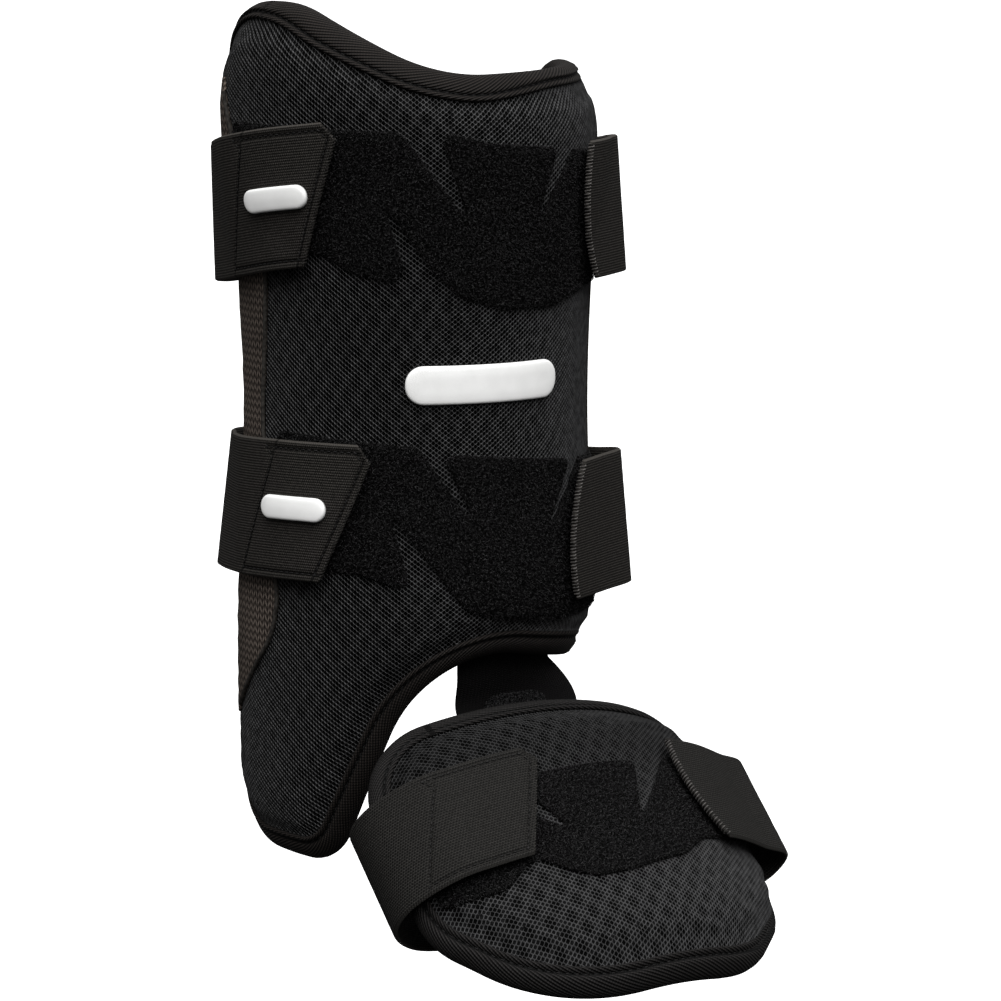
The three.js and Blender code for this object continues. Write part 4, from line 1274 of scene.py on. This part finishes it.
class Line:
    """A path that is read by the distance along it."""

    def __init__(self, points):
        self.points = points
        self.travel = travelled(points)
        self.length = self.travel[-1]
        self.tangents = np.gradient(points, axis=0)
        self.tangents /= np.linalg.norm(self.tangents, axis=1)[:, None]

    def read(self, values, distance):
        parts = [np.interp(distance, self.travel, column) for column in values.T]
        return np.stack(parts, axis=-1)


# %% Paths of the straps
WEBBING = 1.6
HOOK = 1.0
STRAP_GAP = 0.4
STRAP_LIFT = 3 * STRAP_GAP + PILE + HOOK
SIDE_SINK, SINK_FROM, SINK_SPAN = 1.6, 98.0, 12.0
# turn in degrees, reach from the axis, height, lean in degrees
UPPER_STRAP = [
    (-50, 66, 161.5, 0), (-75, 66.5, 157.8, 0), (-92, 65.6, 154.3, -0.5), (-106, 65.0, 151.6, -1),
    (-121, 66.4, 149.3, -2), (-129, 64, 148.2, -1), (-150, 65, 146.5, 0), (-180, 67, 145, 2),
    (-215, 67.5, 145, 3), (-250, 66, 146.5, 4), (-272, 66, 148.5, 4), (-290, 67.5, 151, 4.5),
    (-299, 71, 152.3, 4.5), (-314, 67, 152.5, 3), (-330, 66, 152.5, 1),
]
LOWER_STRAP = [
    (-43, 65, 54, 0), (-70, 65, 54, 1), (-90, 63.8, 53, 4), (-105, 63.0, 52, 6),
    (-119, 63.4, 51.2, 7.5), (-128, 61.5, 50.5, 7.5), (-150, 63, 48, 7), (-180, 66, 43, 6),
    (-215, 67.5, 39.5, 5.5), (-250, 66, 39, 5), (-272, 66, 40, 5), (-290, 68, 42.2, 5),
    (-299, 73, 43.5, 5), (-316, 67, 44, 3), (-336.5, 66, 44, 1),
]
FOOT_STRAP_SEAT = -50.0
FOOT_STRAP_LIFT = PAD_THICKNESS + STRAP_LIFT + 0.1
FOOT_STRAP_LEFT = [-12, -24, -36, -48]
FOOT_STRAP_UNDER = [
    (-66, -9), (-66, -22), (-54, -34), (-30, -39), (2, -41), (36, -40), (68, -35), (83, -25), (84, -12),
]
FOOT_STRAP_RIGHT = [66, 52, 37]


def leg_strap_bend(table):
    turn, reach, height, lean = np.array(table, float).T
    turn = np.radians(turn)
    line = Line(smooth_line(np.column_stack([reach * np.sin(turn), -reach * np.cos(turn), height])))
    leans = np.radians(lean)

    def bend(x, y, lift):
        distance = np.clip(-x, 0.0, line.length)
        middle = line.read(line.points, distance)
        climb = line.read(line.tangents, distance)[..., 2]
        tilt = np.interp(distance / line.length * (len(leans) - 1), np.arange(len(leans)), leans)
        radius = np.hypot(middle[..., 0], middle[..., 1])
        angle = np.arctan2(middle[..., 0], -middle[..., 1]) + y * climb / radius
        z = middle[..., 2] + y * np.sqrt(1.0 - climb * climb)
        across = angle * FLAT_RADIUS
        clear = STRAP_LIFT - SIDE_SINK * rise(-across, SINK_FROM, SINK_SPAN)
        seat = lining_radius(across, z) + shin_skin.cover(across, z) + clear
        on_pad = shin_skin.inset(across, z) > 0.0
        radius = np.maximum(radius - y * np.tan(tilt), np.where(on_pad, seat, 0.0)) + lift
        return np.stack([radius * np.sin(angle), -radius * np.cos(angle), z], axis=-1)

    return bend, line.length


def foot_strap_bend():
    def seat_stops(places):
        turn = np.array(places) / FOOT_ARCH_RADIUS
        reach = FOOT_ARCH_RADIUS + FOOT_STRAP_LIFT
        return np.column_stack([reach * np.sin(turn), reach * np.cos(turn) - FOOT_ARCH_RADIUS])

    stops = [seat_stops(FOOT_STRAP_LEFT), FOOT_STRAP_UNDER, seat_stops(FOOT_STRAP_RIGHT)]
    line = Line(smooth_line(np.concatenate(stops)))
    seat = foot_point(np.array(0.0), np.array(FOOT_STRAP_SEAT), np.array(0.0))
    tilt = FOOT_STRAP_SEAT / FOOT_BEND_RADIUS
    along = FOOT_TO_ANKLE * np.cos(tilt) - FOOT_UP * np.sin(tilt)
    up = FOOT_UP * np.cos(tilt) + FOOT_TO_ANKLE * np.sin(tilt)

    def bend(x, y, lift):
        distance = np.clip(-x, 0.0, line.length)
        middle = line.read(line.points, distance)
        tangent = line.read(line.tangents, distance)
        across = middle[..., 0] + tangent[..., 1] * lift
        drop = middle[..., 1] - tangent[..., 0] * lift
        return seat + np.stack([across, drop, y], axis=-1) @ np.stack([FOOT_ACROSS, up, along])

    return bend, line.length


upper_bend, upper_length = leg_strap_bend(UPPER_STRAP)
lower_bend, lower_length = leg_strap_bend(LOWER_STRAP)
foot_bend, foot_length = foot_strap_bend()
print(f"strap lengths: upper {upper_length:.0f}, lower {lower_length:.0f}, foot {foot_length:.0f} mm")

# %% Bands, tabs and stitches
GROOVE_DEPTH, GROOVE_WIDTH = 0.5, 0.65
SEAM_POINTS, SEAM_STRIDE = 40, 3
HEM_ROWS, MIDDLE_ROWS, UNDER_ROWS = 11, 36, 12
HEM_SPREAD, HEM_CLEAR = 1.6, 2.6
SELVEDGE_ROUND = 0.9
UNDER_EDGE, UNDER_EDGE_LIFT = 0.5, 0.35
BAND_FINE, BAND_COARSE, FINE_BEYOND_TAB = 0.6, 2.2, 6.0
TAB_STITCH_PITCH, TAB_STITCH_SINK = 2.3, 0.12


def tab_end(y, width, slant):
    """How far back the slanted, chamfered end lies at a place across the band."""
    half = width / 2.0
    corner = half - TAB_CHAMFER
    return np.interp(y, [-half, corner, half], [slant, 0.0, TAB_CHAMFER_DEPTH])


def right_end(y, width, length, end):
    """How far along its path the bowed right end lies at a place across the band."""
    cut, middle = end
    part = (2.0 * y / width - middle) / (1.0 + abs(middle))
    return length - cut * part**2


def sewn_lines(width, slant):
    """Stitch lines of a tab: beside its end, where it is sewn to the band, and along both hems."""
    half = width / 2.0
    across = np.linspace(-half + HEM, half - HEM, SEAM_POINTS)
    lines = [np.column_stack([tab_end(across, width, slant) + back, across]) for back in (HEM, TAB_LENGTH)]
    for edge in (-half + HEM, half - HEM):
        start = tab_end(np.array(edge), width, slant)
        along = np.linspace(start + HEM, start + TAB_LENGTH, SEAM_POINTS)
        lines.append(np.column_stack([along, np.full(SEAM_POINTS, edge)]))
    return lines


def groove(x, y, lines):
    """How far the stitch lines pull the webbing in at each place."""
    spots = np.stack([x, y], axis=-1)
    depth = np.zeros(np.shape(x))
    for line in lines:
        for a, b in zip(line[:-1:SEAM_STRIDE], line[SEAM_STRIDE::SEAM_STRIDE]):
            away = from_segment(spots, a, b)
            depth = np.maximum(depth, np.exp(-((away / GROOVE_WIDTH) ** 2)))
    return GROOVE_DEPTH * depth


def closed_ends(outer, inner, rows):
    """Quads that close both ends of a band between its outer and inner points across."""
    near = [len(outer) + int(np.argmin(np.abs(inner - place))) for place in outer]
    strip = [[i, i + 1, near[i + 1], near[i]] for i in range(len(outer) - 1)]
    strip = [list(dict.fromkeys(face)) for face in strip]
    last = (len(outer) + len(inner)) * (rows - 1)
    return [face[::-1] for face in strip] + [[last + i for i in face] for face in strip]


def swept(name, points, outer, inner, material, laid):
    """A closed band from rows of points; outer and inner are the places across of its two faces."""
    faces = grid_faces(*points.shape[:2], close_columns=True).tolist()
    faces += closed_ends(outer, inner, len(points))
    return mesh_piece(name, points.reshape(-1, 3), [face[::-1] for face in faces], [material], laid)


def band(name, width, length, slant, end, bend, material):
    """Webbing along a bend, with close rows at both selvedges, where the hems are sewn."""
    half = width / 2.0
    hem_y = np.linspace(0.0, HEM + HEM_SPREAD, HEM_ROWS)
    middle_y = np.linspace(HEM + HEM_CLEAR - half, half - HEM - HEM_CLEAR, MIDDLE_ROWS)
    outer_y = np.concatenate([hem_y - half, middle_y, half - hem_y[::-1]])
    near_edge = ((np.abs(outer_y) - half + SELVEDGE_ROUND) / SELVEDGE_ROUND).clip(0.0)
    outer_h = WEBBING * (0.5 + 0.5 * np.sqrt(np.clip(1.0 - near_edge**2, 0.0, 1.0)))
    inner_y = np.linspace(half, -half, UNDER_ROWS)
    inner_h = np.where(np.abs(inner_y) > half - UNDER_EDGE, UNDER_EDGE_LIFT, 0.0)
    across = np.concatenate([outer_y, inner_y])
    lift = np.concatenate([outer_h, inner_h])
    tab = np.arange(0.0, TAB_LENGTH + FINE_BEYOND_TAB, BAND_FINE)
    rest = np.linspace(tab[-1] + BAND_COARSE, length, int((length - tab[-1]) / BAND_COARSE))
    travel = np.concatenate([tab, rest])
    start, stop = tab_end(across, width, slant), right_end(across, width, length, end)
    x = start[None, :] + travel[:, None] * ((stop - start) / length)[None, :]
    y = np.broadcast_to(across, x.shape)
    sunk = groove(x, y, sewn_lines(width, slant)) * (np.arange(len(across)) < len(outer_y))
    laid = np.column_stack([x.ravel(), y.ravel()])
    return swept(name, bend(-x, y, lift - sunk), outer_y, inner_y, material, laid)


def sew(name, lines, bend):
    """Stitches along each line, joined into one piece."""
    lift = WEBBING - TAB_STITCH_SINK
    paths = polyline(*[bend(-line[:, 0], line[:, 1], np.full(len(line), lift)) for line in lines])
    stitches = on_path.run(paths, name, Shape=small_stitch_shape, Material=thread,
                           Pitch=TAB_STITCH_PITCH * MM)
    dress(stitches, "webbing")


# %% Overlock and hook pads
OVERLOCK_PITCH, POINTS_A_WIND = 1.15, 10
WIND_REACH, WIND_LIFT = 0.62, 0.66
HOOK_MARGIN = 3.0
HOOK_DENSITY = 0.25e6
HOOK_GRID, HOOK_SHEET = 24, 0.55


def overlock(name, width, end_at, reach, radius, bend, material):
    """A thread wound over a cut end; end_at gives the end's place along the band."""
    half = width / 2.0
    winds = int(width / OVERLOCK_PITCH)
    turn = np.linspace(0.0, winds * 2.0 * np.pi, winds * POINTS_A_WIND)
    y = np.linspace(-half + 1.0, half - 1.0, len(turn))
    x = end_at(y) + reach * (np.sign(reach) * np.cos(turn) * WIND_REACH + 0.5)
    lift = WEBBING * 0.5 + WEBBING * WIND_LIFT * np.sin(turn)
    path = polyline(bend(-x, y, lift))
    dress(along_path.run(path, name, Material=material, Radius=radius * MM), "webbing")


def hook_pad(name, across, first, last, bend, node):
    """A plastic sheet under a strap's end, with tiny hooks scattered on its underside."""
    x = first + np.linspace(0.0, 1.0, HOOK_GRID)[:, None] * (last - first)
    y = np.broadcast_to(across, x.shape)
    top, low = [bend(-x, y, np.full(x.shape, -STRAP_GAP - depth)).reshape(-1, 3)
                for depth in (0.0, HOOK * HOOK_SHEET)]
    faces = grid_faces(HOOK_GRID, HOOK_GRID)
    ids = np.arange(x.size).reshape(x.shape)
    rim = np.concatenate([ids[0], ids[1:, -1], ids[-1, -2::-1], ids[-2:0:-1, 0]])
    after = np.roll(rim, -1)
    wall = np.column_stack([rim, after, after + x.size, rim + x.size])
    under = faces + x.size
    laid = np.tile(np.column_stack([x.ravel(), y.ravel()]), (2, 1))
    sheet = mesh_piece(name, np.concatenate([top, low]), [*faces[:, ::-1], *under, *wall], [hook], laid)
    face_down = mesh_piece(name + "_under", low, faces, [])
    hooks = scattered.run(face_down, name + "_hooks", Shape=hook_shape, Material=hook, Density=HOOK_DENSITY,
                          Seed=PILE_SEED)
    dress(hooks, "hook")
    dress(sheet, "hook", node)


def hook_stem():
    """One hook: a thin stem that bends over at its tip."""
    turn = np.arange(4) * np.pi / 2.0
    spine = [(0.0, 0.0, 0.11), (0.0, 0.26, 0.1), (0.1, 0.4, 0.08), (0.24, 0.34, 0.04)]
    points = [[lean + r * np.cos(t), r * np.sin(t), height] for lean, height, r in spine for t in turn]
    return small_shape("hook_shape", points, grid_faces(4, 4, close_columns=True))


hook_shape = hook_stem()

# %% Make the three straps
# name, pad it rests on, width, length, tab slant, cut and middle of the bowed end, bend, finish
STRAPS = [
    ("upper", "shin_pad_cover", STRAP_WIDTH, upper_length, 18.0, (8.5, 0.4), upper_bend, webbing),
    ("lower", "shin_pad_cover", STRAP_WIDTH, lower_length, 17.5, (10.0, -0.3), lower_bend, webbing),
    ("foot", "foot_pad_cover", FOOT_STRAP_WIDTH, foot_length, 15.5, (10.0, 0.5), foot_bend, foot_webbing),
]
LEFT_HOOK_END, RIGHT_HOOK = 34.0, 20.0
# reach over the end and radius of the thread
CUT_END, TAB_END = (-0.9, 0.2), (0.5, 0.14)
for name, pad, width, length, slant, end, bend, material in STRAPS:
    strap = band(name + "_elastic_strap", width, length, slant, end, bend, material)
    dress(strap, "webbing", name + "_strap")
    width * MM
    length * MM
    sew(name + "_tab_stitches", sewn_lines(width, slant), bend)
    overlock(name + "_overlock", width, lambda y: right_end(y, width, length, end), *CUT_END, bend,
             pale_thread)
    overlock(name + "_tab_edge", width, lambda y: tab_end(y, width, slant), *TAB_END, bend, edge_thread)
    across = np.linspace(HOOK_MARGIN - width / 2.0, width / 2.0 - HOOK_MARGIN, HOOK_GRID)
    tab_side = HOOK_MARGIN + slant * (0.5 - across / width)
    hook_pad(name + "_left_hook_pad", across, tab_side, LEFT_HOOK_END, bend, name + "_hook_left")
    end_side = right_end(across, width, length, end) - HOOK_MARGIN
    hook_pad(name + "_right_hook_pad", across, length - RIGHT_HOOK, end_side, bend, name + "_hook_right")

# %% [markdown]
# ## Tongue
# A wide piece of ribbed elastic leaves the lining above the arch and slides under the foot pad. It blends
# from the shin's surface to the foot's along its length. A small pile tab on its outer face shows just
# above the foot pad's tape.

# %% Tongue and its pile tab
TONGUE_LENGTH = 84.0
TONGUE_RIB_HEIGHT, POINTS_A_RIB = 0.14, 4
TONGUE_ROWS, TONGUE_UNDER_ROWS = 60, 24
TONGUE_TOP, TONGUE_ROUND, TONGUE_SIDE = 30.0, 23.0, 9.0
TONGUE_TURN_RADIUS = 46.0
TONGUE_FOOT_START, TONGUE_LEAVE, TONGUE_ARRIVE = 54.0, 36.0, 60.0
TONGUE_SWELL, SWELL_FROM, SWELL_TO = 6.0, 35.0, 54.0
SWELL_EDGE, SWELL_WIDTH, SWELL_TURN = -10.0, 36.0, np.radians(58.0)
TONGUE_SHIN_SINK = TAPE + 2 * STRAP_GAP + WEBBING
TONGUE_FOOT_SINK = TAPE + 3 * STRAP_GAP + PILE + WEBBING
TONGUE_TAB = [(-16, -62, 2), (8, -62, 2), (8, -44, 6), (-16, -43, 6)]
TAB_PILE_DENSITY = 5.5e6


def tongue_point(x, y, height):
    on_shin = shin_point(TONGUE_ROUND + x * FLAT_RADIUS / TONGUE_TURN_RADIUS, TONGUE_TOP + y,
                         height - TONGUE_SHIN_SINK)
    on_foot = foot_point(TONGUE_SIDE + x, TONGUE_FOOT_START + y, height - TONGUE_FOOT_SINK)
    part = rise(-y, TONGUE_LEAVE, TONGUE_ARRIVE - TONGUE_LEAVE)[..., None]
    along = np.clip((-y - SWELL_FROM) / (SWELL_TO - SWELL_FROM), 0.0, 1.0)
    swell = TONGUE_SWELL * np.sin(np.pi * along) * rise(x, SWELL_EDGE, SWELL_WIDTH)
    aside = np.array([np.sin(SWELL_TURN), -np.cos(SWELL_TURN), 0.0])
    return on_shin * (1.0 - part) + on_foot * part + swell[..., None] * aside


class Plain:
    """A skin with no pad of its own: sheets lie straight on a bent piece."""

    def __init__(self, point, height):
        self.point = point
        self.height = height

    def place(self, x, y, lift):
        return self.point(x, y, self.height + lift)


def make_tongue():
    half = TONGUE_WIDTH / 2.0
    across = np.linspace(-half, half, int(TONGUE_WIDTH / TONGUE_RIB * POINTS_A_RIB) + 1)
    ribs = TONGUE_RIB_HEIGHT * 0.5 * (1.0 + np.cos(2.0 * np.pi * across / TONGUE_RIB))
    inner = np.linspace(half, -half, TONGUE_UNDER_ROWS)
    heights = np.concatenate([WEBBING - TONGUE_RIB_HEIGHT + ribs, np.zeros(len(inner))])
    down = np.linspace(0.0, -TONGUE_LENGTH, TONGUE_ROWS)
    x, y = np.meshgrid(np.concatenate([across, inner]), down)
    points = tongue_point(x, y, np.broadcast_to(heights, x.shape))
    laid = np.column_stack([y.ravel(), x.ravel()])
    return swept("elastic_tongue", points, across, inner, tongue_webbing, laid)


tongue = dress(make_tongue(), "webbing", "tongue")
loop_patch("tongue_pile_tab", TONGUE_TAB, Plain(tongue_point, WEBBING), "tongue_loop_tab",
           TAB_PILE_DENSITY)

# %% [markdown]
# ## Badges
# Plain rounded bars of white rubber sit on the shin and on two tabs. They carry no words. Each is a low
# dome with a rounded rim, built from rings like the patches but with a taller roll.

# %% White rubber bars
BADGE, BADGE_CROWN = 1.8, 1.1
BADGE_STEP, BADGE_GRID = 0.8, 1.2
BADGE_ROUNDING = 0.48
# inset from the edge, share of the thickness
BADGE_ROLL = [(0.0, 0.0), (0.0, 0.45), (0.12, 0.7), (0.4, 0.88), (0.9, 0.97), (1.8, 1.03), (3.0, 1.08)]
# middle across and up, length, width
SHIN_BADGE = (-6.0, 97.0, 58.0, 13.0)
TAB_BADGES = [("upper", -25.0, 0.0, 26.0, 8.0, upper_bend), ("lower", -28.0, 1.0, 26.0, 8.0, lower_bend)]


def bar_corners(x, y, length, width):
    sides = [(-1, -1), (1, -1), (1, 1), (-1, 1)]
    return [(x + a * length / 2.0, y + b * width / 2.0, width * BADGE_ROUNDING) for a, b in sides]


def raised_bar(name, corners, skin, node):
    rolls = [(inset, share * BADGE) for inset, share in BADGE_ROLL]
    flat, heights, rim, quads, inside = rolled_face(
        corners, rolls, BADGE_STEP, BADGE_GRID, BADGE * BADGE_CROWN)
    faces = quads + inside + [list(range(len(rim)))[::-1]]
    piece = mesh_piece(name, skin.place(*flat.T, heights + SHEET_CLEAR), faces, [badge], flat)
    dress(piece, "badge", node)


raised_bar("shin_rubber_bar", bar_corners(*SHIN_BADGE), shin_skin, "shin_badge")
for name, x, y, length, width, bend in TAB_BADGES:
    raised_bar(name + "_rubber_bar", bar_corners(x, y, length, width), Plain(bend, WEBBING), name + "_badge")

# %% [markdown]
# ## Floor, light and camera
# The guard is shown held up in its worn form over a plain pale floor. One very wide lamp high in front
# does most of the work, as a big soft box does in a studio, so that the foot piece is lighter than the
# upright shin and undersides stay dark. A dim sky fills the shadows, dimmer still below the horizon. The
# floor is kept out of the bounce light, because a white floor this near would light black cloth from below.

# %% Stage
FLOOR_HALF = 60.0
FLOOR_DROP = 0.45
SKY_ABOVE, SKY_BELOW = 0.42, 0.06
SKY_DIM_TO, SKY_FULL_FROM = -0.35, 0.5
LAMP_POWER, LAMP_SPREAD = 5.0, np.radians(70.0)
LAMP_TURN, LAMP_RISE = np.radians(-20.0), np.radians(62.0)


def make_floor():
    level = (cad_low.z - FLOOR_DROP) / MM
    reach = FLOOR_HALF / MM
    corners = [(-reach, -reach, level), (reach, -reach, level), (reach, reach, level), (-reach, reach, level)]
    pale = plain_finish("pale_floor", (0.9, 0.9, 0.9), (0.93, 0.93, 0.93), 2.0, 0.7, 0.0, 0.1)
    floor = mesh_piece("floor", corners, [(0, 1, 2, 3)], [pale])
    floor.visible_diffuse = False
    floor.visible_glossy = False


def make_sky():
    world = bpy.data.worlds.new("studio_sky")
    world.use_nodes = True
    sky = Graph(world.node_tree)
    sky.tree.nodes.clear()
    way = sky.node("ShaderNodeTexCoord")
    parts = sky.node("ShaderNodeSeparateXYZ", None, {0: way}, output=2)
    strength = parts.between(SKY_DIM_TO, SKY_FULL_FROM) * (SKY_ABOVE - SKY_BELOW) + SKY_BELOW
    glow = sky.node("ShaderNodeBackground", None, {"Color": (1.0, 1.0, 1.0, 1.0), "Strength": strength})
    sky.node("ShaderNodeOutputWorld", None, {"Surface": glow})
    bpy.context.scene.world = world


def make_lamp():
    data = bpy.data.lights.new("wide_lamp", "SUN")
    data.energy = LAMP_POWER
    data.angle = LAMP_SPREAD
    lamp = add_object("wide_lamp", data)
    level = np.cos(LAMP_RISE)
    source = Vector((level * np.sin(LAMP_TURN), -level * np.cos(LAMP_TURN), np.sin(LAMP_RISE)))
    lamp.rotation_euler = (-source).to_track_quat("-Z", "Y").to_euler()


make_floor()
make_sky()
make_lamp()
print("lamps:", len(bpy.data.lights), "sky:", bpy.context.scene.world.name)

# %% Camera
CAMERA_PLACE = Vector((-0.7329, -1.2308, 0.2759))
CAMERA_AIM = Vector((0.02606, -0.01628, 0.04904))
CAMERA_LENS, CAMERA_SENSOR = 150.2, 36.0
CAMERA_REACH = 100.0
camera_data = bpy.data.cameras.new("photo_camera")
camera_data.lens = CAMERA_LENS
camera_data.sensor_width = CAMERA_SENSOR
camera_data.clip_end = CAMERA_REACH
camera = add_object("photo_camera", camera_data)
camera.location = CAMERA_PLACE
camera.rotation_euler = (CAMERA_AIM - CAMERA_PLACE).to_track_quat("-Z", "Y").to_euler()
bpy.context.scene.camera = camera
bpy.context.scene.view_settings.view_transform = "Standard"
print("camera:", camera.name, "lens", CAMERA_LENS)

# %% Finish
for shape in [item for item in bpy.data.objects if item.name.endswith(("_shape", "_cell"))]:
    bpy.data.objects.remove(shape)
